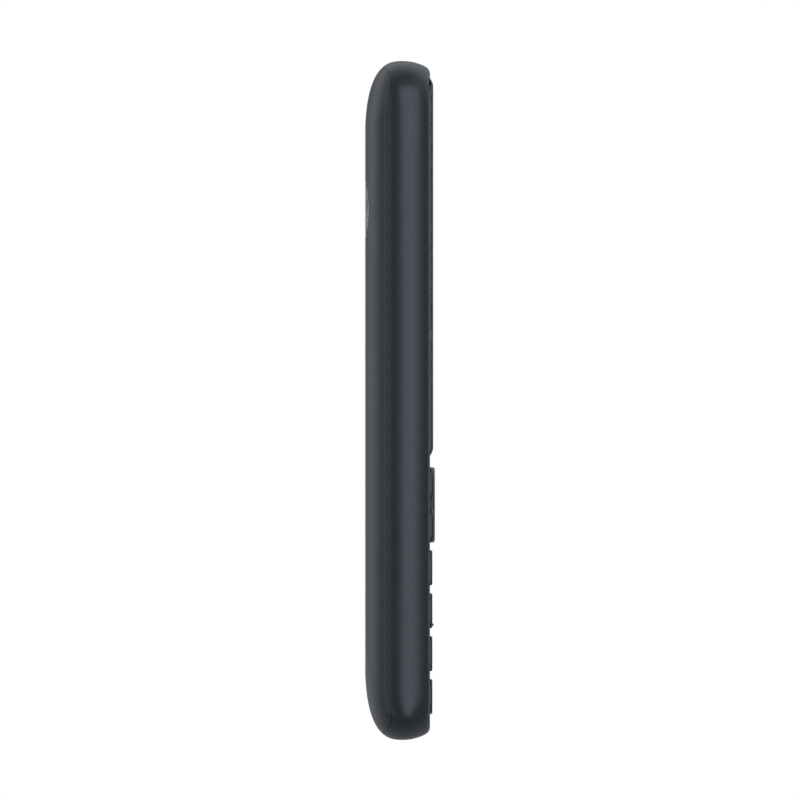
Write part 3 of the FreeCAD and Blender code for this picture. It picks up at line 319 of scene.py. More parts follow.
def perforated(name, low, high, across, up, bar):
    """A plate full of square holes with round corners, its thickness along X."""
    low, high = Vector(low), Vector(high)
    size = high - low
    clear_selection()
    bpy.ops.mesh.primitive_grid_add(
        x_subdivisions=across, y_subdivisions=up, size=1, location=(low + high) / 2, rotation=FRONT_FACE
    )
    piece = settle(name, (size.y, size.z, 1))
    edit_all(piece)
    bpy.ops.mesh.inset(thickness=bar, use_individual=True)
    bpy.ops.mesh.delete(type="FACE")
    finish_mode(piece)
    modify(piece, "SOLIDIFY", thickness=size.x, offset=0)
    return smooth(piece)


def traced(name, node):
    """A copy of a solid part with its doubled corners merged, so that it can be cut further."""
    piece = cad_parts[node].copy()
    piece.data = piece.data.copy()
    for key in list(piece.keys()):
        del piece[key]
    piece.parent = None
    bpy.context.scene.collection.objects.link(piece)
    piece.name = piece.data.name = name
    piece.data.materials.clear()
    edit_all(piece)
    bpy.ops.mesh.remove_doubles(threshold=MERGE_WITHIN)
    bpy.ops.mesh.customdata_custom_splitnormals_clear()
    return finish_mode(piece)


# Nodes of the finishes

def put(tree, kind, links=None, **settings):
    """Adds a node, sets its options and feeds its sockets."""
    node = tree.nodes.new("ShaderNode" + kind)
    for option, value in settings.items():
        setattr(node, option, value)
    for socket, value in (links or {}).items():
        if isinstance(value, bpy.types.NodeSocket):
            tree.links.new(value, node.inputs[socket])
        else:
            node.inputs[socket].default_value = value
    return node


def feed(tree, sockets, **outputs):
    """Links outputs to a node's sockets by their labels."""
    for label, output in outputs.items():
        tree.links.new(output, sockets[label.replace("_", " ")])


def maths(tree, operation, first, second=0.0):
    return put(tree, "Math", {0: first, 1: second}, operation=operation).outputs[0]


def times(tree, first, second):
    return maths(tree, "MULTIPLY", first, second)


def spread(tree, value, low, high, source=(0.0, 1.0)):
    """A value carried from one range to another and held within it."""
    node = put(tree, "MapRange", {0: value, 1: source[0], 2: source[1], 3: low, 4: high})
    return node.outputs[0]


def fade(tree, value, rise, fall, peak=1.0):
    """Rises from nothing to the peak over one range of a value and falls to nothing over another."""
    risen = spread(tree, value, 0.0, peak, rise)
    return times(tree, risen, spread(tree, value, 1.0, 0.0, fall))


def blend_colours(tree, factor, first, second):
    return put(tree, "Mix", {0: factor, 6: first, 7: second}, data_type="RGBA").outputs[2]


def scale_colour(tree, colour, shade):
    return put(tree, "VectorMath", {0: colour, "Scale": shade}, operation="SCALE").outputs[0]


def place_of(tree):
    return put(tree, "TexCoord").outputs["Object"]


def noise(tree, place, scale, detail=3.0, roughness=0.5):
    links = {"Vector": place, "Scale": scale, "Detail": detail, "Roughness": roughness}
    return put(tree, "TexNoise", links).outputs[0]


def new_group(name, inputs, outputs):
    """An empty node group with float and colour sockets, and its two end nodes."""
    group = bpy.data.node_groups.new(name, "ShaderNodeTree")
    for way, sockets in (("INPUT", inputs), ("OUTPUT", outputs)):
        for label, default in sockets.items():
            kind = "NodeSocketColor" if isinstance(default, tuple) else "NodeSocketFloat"
            socket = group.interface.new_socket(name=label, in_out=way, socket_type=kind)
            socket.default_value = default
    return group, group.nodes.new("NodeGroupInput").outputs, group.nodes.new("NodeGroupOutput").inputs


GREY = (0.5, 0.5, 0.5, 1.0)


def moulded_group():
    """Moulded plastic: fine grain, faint clouding of colour and gloss, and a trace of dust."""
    group, given, made = new_group(
        "moulded_plastic",
        {
            "Colour": GREY, "Clouding": 0.1, "Grain Scale": 6000.0, "Roughness": 0.4,
            "Gloss Spread": 0.05, "Dust": 0.0,
        },
        {"Colour": GREY, "Roughness": 0.5, "Grain": 0.5},
    )
    place = place_of(group)
    clouds = noise(group, place, 70.0, 4.0, 0.55)
    grain = noise(group, place, given["Grain Scale"], 2.0)
    shade = times(group, maths(group, "SUBTRACT", clouds, 0.5), given["Clouding"])
    shade = maths(group, "ADD", shade, 1.0)
    tinted = scale_colour(group, given["Colour"], shade)
    specks = spread(group, noise(group, place, 2600.0, 2.0), 0.0, 1.0, (0.66, 0.74))
    dust = times(group, specks, given["Dust"])
    colour = blend_colours(group, dust, tinted, (0.42, 0.42, 0.40, 1.0))
    rough = times(group, maths(group, "SUBTRACT", clouds, 0.5), given["Gloss Spread"])
    rough = maths(group, "ADD", rough, given["Roughness"])
    feed(group, made, Colour=colour, Roughness=rough, Grain=grain)
    return group


# Where the ridges fade: depths from the back beside the seam and on the flat back, then the
# height of the cover's middle and the distances from it at the two ends
RIDGES_BY_SEAM = (3.45 * MM, 3.75 * MM)
RIDGES_ON_BACK = (0.15 * MM, 0.45 * MM)
RIDGES_MIDDLE = 65.5 * MM
RIDGES_AT_ENDS = (59 * MM, 61.5 * MM)


def ridges_group(sizes):
    """The fine diagonal ridges on the cover's back and beside its seam, smooth between them."""
    group, given, made = new_group(
        "diagonal_ridges", {"Across": sizes.weave_across, "Along": sizes.weave_along}, {"Height": 0.5}
    )
    x, y, z = put(group, "SeparateXYZ", {0: place_of(group)}).outputs
    depth = maths(group, "SUBTRACT", x, cad_bounds[0][0])
    around = maths(group, "ADD", y, times(group, maths(group, "SIGN", y), depth))
    waves = []
    for operation, pitch in (("ADD", "Across"), ("SUBTRACT", "Along")):
        run = maths(group, "DIVIDE", maths(group, operation, z, around), given[pitch])
        waves.append(maths(group, "SINE", times(group, run, 2 * math.pi)))
    height = times(group, *waves)
    rim = spread(group, depth, 0.0, 1.0, RIDGES_BY_SEAM)
    back = spread(group, depth, 1.0, 0.0, RIDGES_ON_BACK)
    from_middle = maths(group, "ABSOLUTE", maths(group, "SUBTRACT", z, RIDGES_MIDDLE))
    ends = spread(group, from_middle, 1.0, 0.0, RIDGES_AT_ENDS)
    shown = times(group, maths(group, "MAXIMUM", rim, back), ends)
    feed(group, made, Height=times(group, height, shown))
    return group


def brushed_group():
    """Drawn or rolled metal: long fine lines along Z with a little clouding."""
    group, given, made = new_group(
        "rolled_metal", {"Colour": GREY, "Roughness": 0.3, "Lines": 4000.0},
        {"Colour": GREY, "Roughness": 0.3, "Height": 0.5},
    )
    place = place_of(group)
    drawn = put(group, "Mapping", {"Vector": place, "Scale": (1.0, 1.0, 0.04)}).outputs[0]
    lines = noise(group, drawn, given["Lines"], 3.0)
    clouds = noise(group, place, 160.0, 3.0)
    shade = spread(group, times(group, lines, clouds), 0.82, 1.1, (0.1, 0.4))
    tinted = scale_colour(group, given["Colour"], shade)
    rough = maths(group, "ADD", given["Roughness"], spread(group, lines, -0.08, 0.1, (0.3, 0.7)))
    feed(group, made, Colour=tinted, Roughness=rough, Height=lines)
    return group


def smudge_group():
    """Faint finger marks and hairline scratches on clear or polished surfaces."""
    group, given, made = new_group(
        "finger_marks", {"Roughness": 0.05, "Marks": 0.06}, {"Roughness": 0.05, "Scratches": 0.5}
    )
    place = place_of(group)
    marks = spread(group, noise(group, place, 95.0, 5.0, 0.6), 0.0, 1.0, (0.45, 0.75))
    turned_place = put(
        group, "Mapping", {"Vector": place, "Rotation": (0.5, 0.3, 0.0), "Scale": (1.0, 1.0, 0.02)}
    ).outputs[0]
    lines = noise(group, turned_place, 2500.0, 1.0)
    rough = maths(group, "ADD", given["Roughness"], times(group, marks, given["Marks"]))
    feed(group, made, Roughness=rough, Scratches=spread(group, lines, 0.0, 1.0, (0.7, 0.8)))
    return group


def fine_edge_group():
    """The tiny rounding that every moulded or stamped edge has."""
    group = new_group("fine_edges", {}, {})[0]
    group.interface.new_socket(name="Normal", in_out="OUTPUT", socket_type="NodeSocketVector")
    rounding = put(group, "Bevel", {"Radius": 0.09 * MM}, samples=6).outputs[0]
    feed(group, group.nodes["Group Output"].inputs, Normal=rounding)
    return group


GROUPS = {}
FINISHES = {}


def group_node(tree, name, **values):
    links = {label.replace("_", " "): value for label, value in values.items()}
    return put(tree, "Group", links, node_tree=GROUPS[name]).outputs


def new_finish(name, **settings):
    """A material with its shader, which takes plain settings on its own sockets."""
    made = bpy.data.materials.new(name)
    made.use_nodes = True
    tree = made.node_tree
    shader = tree.nodes["Principled BSDF"]
    for socket, value in settings.items():
        shader.inputs[socket.replace("_", " ")].default_value = value
    FINISHES[name] = made
    return tree, shader


def raise_surface(tree, shader, height, distance, normal=None):
    """Feeds a bump, in metres, to the shader."""
    links = {"Height": height, "Distance": distance}
    if normal is not None:
        links["Normal"] = normal
    feed(tree, shader.inputs, Normal=put(tree, "Bump", links).outputs[0])


def opaque(colour):
    return (*colour[:3], 1.0)


def moulded(name, colour, roughness, grain=6000.0, clouding=0.12, spread_by=0.08, dust=0.0, **settings):
    """Colour and gloss of a moulded piece, without its relief."""
    tree, shader = new_finish(name, **settings)
    made = group_node(
        tree, "moulded", Colour=opaque(colour), Clouding=clouding, Grain_Scale=grain,
        Roughness=roughness, Gloss_Spread=spread_by, Dust=dust,
    )
    feed(tree, shader.inputs, Base_Color=made["Colour"], Roughness=made["Roughness"])
    return tree, shader, made


def plastic(name, colour, roughness, depth=0.006, edges=True, **settings):
    """Moulded plastic or rubber, its grain's depth in millimetres."""
    tree, shader, made = moulded(name, colour, roughness, **settings)
    normal = group_node(tree, "edges")["Normal"] if edges else None
    raise_surface(tree, shader, made["Grain"], depth * MM, normal)


def ridged_plastic(name, colour, roughness, sizes, **settings):
    """Moulded plastic whose ridges stand out in relief, with painted shade between them and a painted
    highlight on their tops.
    """
    depth, grain_share, groove_painted_shade, crest_painted_highlight = 0.028, 0.35, 0.72, 1.28
    tree, shader, made = moulded(name, colour, roughness, **settings)
    ridges = group_node(tree, "ridges", Across=sizes.weave_across, Along=sizes.weave_along)["Height"]
    relief = maths(tree, "ADD", times(tree, made["Grain"], grain_share), ridges)
    raise_surface(tree, shader, relief, depth * MM, group_node(tree, "edges")["Normal"])
    # Painted shade and highlight: the colour darkens in the ridges' grooves and pales on their crests
    shaded = scale_colour(tree, made["Colour"], spread(tree, ridges, groove_painted_shade, crest_painted_highlight))
    feed(tree, shader.inputs, Base_Color=shaded)


def metal(name, colour, roughness, lines=4000.0, depth=0.002):
    """Rolled or plated metal, its lines' depth in millimetres."""
    tree, shader = new_finish(name, Metallic=1.0)
    made = group_node(tree, "rolled", Colour=opaque(colour), Roughness=roughness, Lines=lines)
    feed(tree, shader.inputs, Base_Color=made["Colour"], Roughness=made["Roughness"])
    raise_surface(tree, shader, made["Height"], depth * MM, group_node(tree, "edges")["Normal"])


def glass(name, colour, roughness, marks, density, scratch=0.0004):
    """Clear plastic or glass with faint marks of use, which darkens with the depth looked through."""
    tree, shader = new_finish(name, Transmission_Weight=1.0, IOR=1.49)
    shader.inputs["Base Color"].default_value = opaque(colour)
    tint = put(tree, "VolumeAbsorption", {"Color": (0.10, 0.12, 0.15, 1.0), "Density": density})
    feed(tree, tree.nodes["Material Output"].inputs, Volume=tint.outputs[0])
    made = group_node(tree, "smudges", Roughness=roughness, Marks=marks)
    feed(tree, shader.inputs, Roughness=made["Roughness"])
    raise_surface(tree, shader, made["Scratches"], scratch * MM)


def polished(name, colour, roughness, marks, scratch=0.0003, **settings):
    """Opaque gloss, such as print under a lacquer, with faint marks."""
    tree, shader = new_finish(name, **settings)
    made = group_node(tree, "smudges", Roughness=roughness, Marks=marks)
    clouds = spread(tree, noise(tree, place_of(tree), 120.0), 0.92, 1.08)
    tinted = scale_colour(tree, colour, clouds)
    feed(tree, shader.inputs, Base_Color=tinted, Roughness=made["Roughness"])
    raise_surface(tree, shader, made["Scratches"], scratch * MM)


def make_finishes():
    scene = bpy.context.scene
    sizes, colours = scene.phone_sizes, scene.phone_colours
    GROUPS.update(
        moulded=moulded_group(), ridges=ridges_group(sizes), rolled=brushed_group(),
        smudges=smudge_group(), edges=fine_edge_group(),
    )
    tinted = {"Specular_Tint": (0.84, 0.93, 1.0, 1.0), "Specular_IOR_Level": 0.54}
    fine, paler = 5200.0, 1.15
    plastic("housing_plastic", colours.shell, 0.32, grain=fine, depth=0.004, dust=0.05, **tinted)
    ridged_plastic("cover_plastic", colours.cover, 0.33, sizes, grain=fine, dust=0.05, **tinted)
    plastic("key_plastic", colours.keys, 0.31, grain=fine, depth=0.003, dust=0.04, **tinted)
    pad_colour = [part * paler for part in colours.keys]
    plastic("pad_plastic", pad_colour, 0.30, grain=fine, depth=0.002, dust=0.03)
    plastic("legend_ink", colours.legends, 0.45, depth=0.001, edges=False)
    plastic("call_ink", colours.call, 0.42, depth=0.001, edges=False)
    plastic("end_ink", colours.end, 0.42, depth=0.001, edges=False)
    plastic("chassis_plastic", (0.020, 0.021, 0.023), 0.55, 0.012, grain=3200.0, clouding=0.25, dust=0.10)
    plastic("soft_rubber", (0.045, 0.046, 0.048), 0.72, 0.010, grain=3500.0, clouding=0.2, dust=0.25)
    plastic("keypad_silicone", (0.35, 0.36, 0.36), 0.6, grain=3500.0, clouding=0.1, dust=0.1)
    plastic("battery_sleeve", (0.030, 0.031, 0.034), 0.34, 0.004, grain=900.0, clouding=0.2, spread_by=0.2)
    plastic("battery_label", (0.50, 0.51, 0.52), 0.38, 0.002, grain=1500.0, clouding=0.08)
    plastic("chip_resin", (0.012, 0.012, 0.013), 0.62, 0.01, grain=fine, clouding=0.3)
    plastic("loudspeaker_plastic", (0.014, 0.014, 0.015), 0.5)
    plastic(
        "flash_diffuser", (0.62, 0.52, 0.12), 0.5, 0.01, grain=3000.0, clouding=0.3,
        Subsurface_Weight=0.2,
    )
    plastic("flex_film", (0.32, 0.14, 0.03), 0.28, 0.002, grain=1200.0, clouding=0.25, Coat_Weight=0.4)
    make_board_finish()
    metal("sheet_metal", (0.60, 0.61, 0.60), 0.30)
    metal("dome_metal", (0.66, 0.65, 0.62), 0.22, lines=1500.0)
    metal("screw_steel", (0.34, 0.34, 0.35), 0.32, lines=2500.0)
    metal("grille_metal", (0.07, 0.075, 0.08), 0.38, lines=3000.0)
    metal("gold_plating", (0.86, 0.62, 0.25), 0.22, lines=3000.0)
    metal("socket_plating", (0.72, 0.72, 0.70), 0.18, lines=3000.0)
    glass("lens_glass", (0.96, 0.975, 0.985), 0.015, 0.035, 180.0)
    glass("window_glass", (0.80, 0.82, 0.84), 0.015, 0.03, 120.0)
    polished("lens_print", (0.0035, 0.0038, 0.0045), 0.16, 0.05)
    polished("display_glass", (0.0065, 0.0072, 0.0085), 0.09, 0.03, Coat_Weight=0.6, Coat_Roughness=0.05)
    polished("optic_black", (0.004, 0.004, 0.005), 0.35, 0.05)
    polished("optic_glass", (0.010, 0.006, 0.020), 0.03, 0.01, Coat_Weight=1.0, Coat_Roughness=0.02)


def make_board_finish():
    """Green laminate with paler copper runs under the mask and small tinned pads."""
    tree, shader = new_finish("board_laminate", Coat_Weight=0.25)
    place = place_of(tree)
    copper_height = 0.01 * MM
    laminate = {"Color1": (0.006, 0.085, 0.035, 1), "Color2": (0.005, 0.060, 0.028, 1)}
    copper = {"Mortar": (0.02, 0.16, 0.06, 1), "Mortar Size": 0.018}
    runs = put(tree, "TexBrick", {"Vector": place, "Scale": 420.0, **laminate, **copper})
    cells = put(tree, "TexVoronoi", {"Vector": place, "Scale": 620.0}).outputs[0]
    pads = spread(tree, cells, 1.0, 0.0, (0.10, 0.14))
    colour = blend_colours(tree, pads, runs.outputs[0], (0.55, 0.52, 0.42, 1.0))
    made = group_node(tree, "moulded", Colour=colour, Clouding=0.2, Roughness=0.32, Gloss_Spread=0.1)
    feed(tree, shader.inputs, Base_Color=made["Colour"], Roughness=made["Roughness"])
    raise_surface(tree, shader, runs.outputs[1], copper_height)


def finish(piece, name):
    """Gives a piece its material."""
    piece.data.materials.clear()
    piece.data.materials.append(FINISHES[name])
    return piece


def finish_nodes(name, *nodes):
    """Gives solid parts a better material."""
    for node in nodes:
        finish(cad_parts[node], name)


def add(piece, body, name, slot, *stands_for):
    """Finishes a new piece, sets it on its body and hides the solid parts it stands for."""
    finish(piece, name)
    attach(piece, body)
    if stands_for:
        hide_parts(*stands_for)
    return piece


# The pieces

class PhoneFinishes(bpy.types.Operator):
    """Makes every material of the phone"""

    bl_idname = "phone.finishes"
    bl_label = "Finishes"

    def execute(self, context):
        make_finishes()
        return {"FINISHED"}


class PhoneShell(bpy.types.Operator):
    """Finishes the housing, the back cover and the frame between them"""

    bl_idname = "phone.shell"
    bl_label = "Shell"

    def execute(self, context):
        finish_nodes("housing_plastic", "front_housing")
        finish_nodes("cover_plastic", "back_cover")
        finish_nodes("chassis_plastic", "chassis")
        add(make_cover_ribs(), "cover", "housing_plastic", "cover_plastic")
        # Dark sheets in the seam's ends: painted shade where the gap has only shade
        add(make_seam_shade_sheet(), "cover", "soft_rubber", "soft_rubber")
        return {"FINISHED"}


def make_seam_shade_sheet():
    """Thin dark sheets in the seam's curved ends, which paint the gap's shade and keep light from passing
    through it.
    """
    thickness, width, straight, hook_radius = 0.066, 8, 0.6, 0.67
    middle, hook_reach, bend_reach = 65.7, 63.576, 60.2
    shade_sheets = []
    for side in SIGNS:
        hook = Vector((-2.978 * MM, 0, (middle + side * hook_reach) * MM))
        bend = Vector((-10.56 * MM, 0, (middle + side * bend_reach) * MM))
        start = hook + Vector((-straight / 2, 0, side * hook_radius)) * MM
        shade_sheet = flat(f"seal_{side}", start, (straight * MM, width * MM))
        for centre, angle, steps in ((hook, 66, 10), (bend, 24, 12)):
            furthest = max(corner.co.x for corner in shade_sheet.data.vertices)
            choose(shade_sheet, "EDGE", lambda *ends: all(end.x > furthest - SAME_WITHIN for end in ends))
            bpy.ops.mesh.spin(steps=steps, angle=-side * math.radians(angle), center=centre, axis=(0, 1, 0))
            finish_mode(shade_sheet)
        shade_sheets.append(modify(shade_sheet, "SOLIDIFY", thickness=thickness * MM, offset=0))
    return smooth(join("seam_shade_sheet", shade_sheets))


def make_cover_ribs():
    """Low stiffening ribs inside the cover, clear of the battery and the frame."""
    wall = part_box("back_cover")[0].x + 1.2 * MM
    foot, top, half = wall - 0.1 * MM, wall + 0.42 * MM, 0.3
    rounding = {"corner": 0.2 * MM, "rim": 0.08 * MM, "steps": 3}
    low, high = (foot, (-9 - half) * MM, 22 * MM), (top, (-9 + half) * MM, 95 * MM)
    upright = plate("upright_rib", low, high, **rounding)
    uprights = repeated("upright_ribs", upright, [(0, step * MM, 0) for step in (6, 12, 18)])
    low, high = (foot, -13 * MM, (24 - half) * MM), (top, 13 * MM, (24 + half) * MM)
    cross = plate("cross_rib", low, high, **rounding)
    crosses = repeated("cross_ribs", cross, [(0, 0, step * MM) for step in (22.5, 45.5, 68.5)])
    return join("cover_ribs", [uprights, crosses])


class PhoneDisplay(bpy.types.Operator):
    """Builds the printed border, the dark display and the earpiece grille behind the lens"""

    bl_idname = "phone.display"
    bl_label = "Display"

    def execute(self, context):
        add(make_lens(), "housing", "lens_glass", "lens_glass", "display_lens")
        finish_nodes("soft_rubber", "display_gasket")
        finish_nodes("sheet_metal", "display_module")
        finish_nodes("flex_film", "display_flex")
        finish_nodes("loudspeaker_plastic", "earpiece")
        add(make_lens_print(), "housing", "lens_print", "display_glass", "lens_adhesive")
        add(make_display_panel(), "housing", "display_glass", "display_glass")
        add(make_earpiece_grille(), "housing", "grille_metal", "sheet_metal", "earpiece_mesh")
        return {"FINISHED"}


# Radius of the rounds at the ends of the earpiece's slot
EAR_CORNER = 0.58 * MM


def make_lens():
    """The clear lens, its top and bottom ends sloped back to the housing."""
    depth, length = 0.66 * MM, 1.34 * MM
    reach, width, height = 3 * MM, 60 * MM, 8 * MM
    lens = traced("clear_lens", "display_lens")
    low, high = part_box("display_lens")
    lean = math.atan2(depth, length)
    for side in SIGNS:
        end = high.z if side > 0 else low.z
        middle = Vector((high.x - depth / 2, 0, end - side * length / 2))
        outward = Vector((math.cos(lean), 0, side * math.sin(lean)))
        tilt = (0, -side * lean, 0)
        clear_selection()
        bpy.ops.mesh.primitive_cube_add(size=1, location=middle + outward * reach / 2, rotation=tilt)
        carve(lens, settle(f"lens_slope_{side}", (reach, width, height)))
    return smooth(lens, 25)


def make_lens_print():
    """Black print on the back of the lens, with openings for the display and the earpiece."""
    border = bpy.context.scene.phone_sizes.print_border
    low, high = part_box("lens_adhesive")
    sides = sides_of("lens_adhesive", low.x + 0.04 * MM, high.x - 0.01 * MM)
    printed = plate("lens_print", *sides, corner=3.0 * MM, steps=8)
    display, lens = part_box("display_module")[1].x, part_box("display_lens")[1].x
    sides = sides_of("display_module", display, lens, border)
    carve(printed, plate("display_opening", *sides, corner=0.6 * MM))
    low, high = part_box("earpiece_mesh")
    sides = sides_of("earpiece_mesh", low.x - 2 * MM, high.x)
    return smooth(carve(printed, plate("ear_opening", *sides, corner=EAR_CORNER)))


def make_display_panel():
    """Dark glass of the display, switched off, seated inside its foam."""
    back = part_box("display_module")[1].x
    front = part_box("display_gasket")[1].x - 0.05 * MM
    sides = sides_of("display_module", back, front, inset=1.3 * MM)
    return plate("display_panel", *sides, corner=0.4 * MM, rim=0.04 * MM)


def make_earpiece_grille():
    """Perforated metal in the earpiece slot, with a rim."""
    low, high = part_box("earpiece_mesh")
    middle, half, inset = middle_of("earpiece_mesh"), 0.12 * MM, Vector((0.05 * MM, 0, 0))
    sides = sides_of("earpiece_mesh", middle.x - half, middle.x + half)
    grille = perforated("earpiece_grille", *sides, across=30, up=4, bar=0.055 * MM)
    carve(grille, traced("slot_outline", "earpiece_mesh"), keep_inside=True)
    rim = plate("grille_rim", low + inset, high - inset, corner=EAR_CORNER)
    sides = sides_of("earpiece_mesh", low.x - MM, high.x + MM, inset=0.12 * MM)
    carve(rim, plate("grille_hole", *sides, corner=0.46 * MM))
    return smooth(join("earpiece_grille", [rim, grille]))


class PhoneKeys(bpy.types.Operator):
    """Finishes the keys and the four-way pad and prints their marks"""

    bl_idname = "phone.keys"
    bl_label = "Keys"

    def execute(self, context):
        sizes = context.scene.phone_sizes
        finish_nodes("key_plastic", *NUMBER_KEYS, *SOFT_KEYS, "call_key", "end_key")
        finish_nodes("pad_plastic", "select_key", "rocker_plate")
        finish_nodes("keypad_silicone", "keypad_mat")
        finish_nodes("dome_metal", "dome_sheet")
        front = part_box("key_1")[1].x
        for key, mark in NUMBER_KEYS.items():
            legend = printed_text(f"legend_{key}", mark, middle_of(key, front), sizes.legend_height)
            add(legend, key, "legend_ink", "key_plastic")
        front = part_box("call_key")[1].x
        reach, ink = Vector((0, 1.7 * MM, 0.2 * MM)), Vector((sizes.ink_thickness, 0, 0))
        for key in SOFT_KEYS:
            start = middle_of(key, front) - reach
            bar = plate(f"mark_{key}", start, start + reach * 2 + ink, corner=0.19 * MM)
            add(bar, key, "legend_ink", "key_plastic")
        for key, colour, tilt in HANDSET_KEYS:
            add(make_handset(f"mark_{key}", middle_of(key, front), tilt), key, colour, "key_plastic")
        dress_pad(sizes)
        return {"FINISHED"}


def printed_text(name, mark, place, height):
    """A thin printed figure on a front face."""
    thickness = bpy.context.scene.phone_sizes.ink_thickness
    clear_selection()
    place = place + Vector((thickness / 2, 0, 0))
    bpy.ops.object.text_add(location=place, rotation=FRONT_FACE)
    text = bpy.context.object
    text.data.body = mark
    text.data.align_x = text.data.align_y = "CENTER"
    text.data.size = height
    text.data.extrude = thickness / 2
    text.data.resolution_u = 4
    bpy.ops.object.convert(target="MESH")
    piece = settle(name)
    centre_up = sum((Vector(corner) for corner in piece.bound_box), Vector()) / 8
    pick(piece)
    bpy.ops.transform.translate(value=(0, place.y - centre_up.y, place.z - centre_up.z))
    return settle(name)


def make_handset(name, middle, tilt):
    """A telephone handset seen from the side: two pads joined by an arched grip."""
    thickness = bpy.context.scene.phone_sizes.ink_thickness
    reach, radius, rise = math.radians(46), 2.5 * MM, 2.05 * MM
    grip_size, pad_size = (0.05 * MM, 0.6 * MM), (0.95 * MM, 1.2 * MM)
    inwards, proud, round_corner = 0.3 * MM, 0.002 * MM, 0.22 * MM
    hub = middle - Vector((0, 0, rise))
    grip = flat(name, hub + Vector((0, 0, radius)), grip_size, FRONT_FACE)
    pads = [grip]
    for side in SIGNS:
        spin_end(grip, hub, reach, side)
        spot = hub + Vector((0, side * math.sin(reach), math.cos(reach))) * (radius - inwards)
        spot.x += proud
        pad = flat(f"{name}_pad", spot, pad_size, FRONT_FACE)
        pads.append(turn_all(pad, spot, side * reach, round_corner))
    handset = turn_all(join(name, pads), middle, tilt)
    return modify(handset, "SOLIDIFY", thickness=thickness, offset=1)


def spin_end(piece, hub, reach, side):
    """Spins the plane's edge on one side about the hub to make half of a grip."""
    furthest = max(side * corner.co.y for corner in piece.data.vertices)
    choose(piece, "EDGE", lambda *ends: all(side * end.y > furthest - SAME_WITHIN for end in ends))
    bpy.ops.mesh.spin(steps=10, angle=-side * reach, center=hub, axis=(-1, 0, 0))
    finish_mode(piece)


def turn_all(piece, centre, angle, corner=0.0):
    """Turns a whole piece about a point, clockwise as seen from the front, with round corners first."""
    edit_all(piece)
    if corner:
        bpy.ops.mesh.bevel(offset=corner, segments=3, affect="VERTICES")
    if angle:
        bpy.ops.transform.rotate(value=angle, orient_axis="X", center_override=centre)
    return finish_mode(piece)


def arrow(name, middle, angle, radius, thickness):
    """A triangle that points outwards from the pad's middle."""
    clear_selection()
    bpy.ops.mesh.primitive_cylinder_add(
        vertices=3, radius=radius, depth=thickness, location=middle, rotation=FRONT_FACE
    )
    return turn_all(settle(name), middle, angle)


def dress_pad(sizes):
    """The pad with four engraved direction marks, and the paint in them."""
    middle = middle_of("four_way_pad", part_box("four_way_pad")[1].x)
    pad = traced("nav_pad", "four_way_pad")
    sunk, gap, pocket, paint = Vector((0.05 * MM, 0, 0)), 0.01 * MM, 0.16 * MM, 0.06 * MM
    marks = []
    for number in range(4):
        angle = number * math.pi / 2
        across = middle.y + math.sin(angle) * sizes.arrow_reach
        up = middle.z + math.cos(angle) * sizes.arrow_reach
        spot = Vector((middle.x, across, up))
        carve(pad, arrow(f"arrow_pocket_{number}", spot, angle, sizes.arrow_size, pocket))
        marks.append(arrow(f"arrow_{number}", spot - sunk, angle, sizes.arrow_size - gap, paint))
    smooth(pad, 25)
    add(pad, "four_way_pad", "pad_plastic", "pad_plastic", "four_way_pad")
    add(join("nav_marks", marks), "four_way_pad", "legend_ink", "pad_plastic")
    middle = middle_of("select_key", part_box("select_key")[1].x)
    profile = ((0.95, 0.0), (0.95, 0.012), (0.72, 0.012), (0.72, 0.0))
    add(turned("select_mark", middle, profile, 40), "select_key", "legend_ink", "pad_plastic")


class PhoneCamera(bpy.types.Operator):
    """Builds the camera's optics and the print behind its window"""

    bl_idname = "phone.camera"
    bl_label = "Camera"

    def execute(self, context):
        finish_nodes("window_glass", "camera_window")
        finish_nodes("flash_diffuser", "flash_led")
        mouth = middle_of("camera_lens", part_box("camera_lens")[0].x)
        hollow = ((0, -0.6), (2.0, -0.6), (2.0, 0.05), (1.15, 0.9), (0, 0.9))
        barrel = carve(traced("camera_barrel", "camera_module"), turned("barrel_cone", mouth, hollow))
        add(smooth(barrel), "housing", "optic_black", "chassis_plastic", "camera_module")
        steps = (
            (2.0, 0.02), (1.96, -0.03), (1.8, -0.03), (1.74, 0.05), (1.5, 0.3), (1.42, 0.3),
            (1.2, 0.62), (0.95, 0.62), (0.95, 0.8),
        )
        baffle = modify(turned("camera_baffle", mouth, steps), "SOLIDIFY", thickness=0.04 * MM, offset=0)
        add(smooth(baffle), "housing", "optic_black", "chassis_plastic")
        dome = ((0.0, 0.50), (0.25, 0.508), (0.5, 0.53), (0.72, 0.57), (0.9, 0.62), (0.94, 0.7), (0.0, 0.74))
        front = smooth(turned("camera_front_glass", mouth, dome))
        add(front, "housing", "optic_glass", "lens_glass", "camera_lens")
        add(make_window_print(middle_of("camera_lens")), "cover", "lens_print", "window_glass")
        return {"FINISHED"}


def make_window_print(camera):
    """Black print on the inside of the camera window, with clear rounds for camera and flash."""
    faces_inwards, thickness, gap = 0.6, 0.05 * MM, 0.01 * MM
    printed = traced("window_print", "camera_window")
    choose(printed, "FACE", lambda centre, normal: normal.x < faces_inwards)
    bpy.ops.mesh.delete(type="FACE")
    finish_mode(printed)
    modify(printed, "SOLIDIFY", thickness=thickness, offset=1)
    edit_all(printed)
    bpy.ops.transform.translate(value=(gap, 0, 0))
    finish_mode(printed)
    for name, y, radius in (("camera", camera.y, 2.6), ("flash", -camera.y, 1.7)):
        profile = ((0, -2), (radius, -2), (radius, 3), (0, 3))
        carve(printed, turned(f"{name}_round", Vector((camera.x, y, camera.z)), profile, 64))
    return smooth(printed)


def contact_row(name, low, high, count, pitch, half):
    """Small plates in a row across the phone's middle, each this wide to either side of its own."""
    first = (1 - count) / 2 * pitch
    contact = plate(name, (low.x, first - half, low.z), (high.x, first + half, high.z))
    return repeated(name, contact, [(0, number * pitch, 0) for number in range(1, count)])


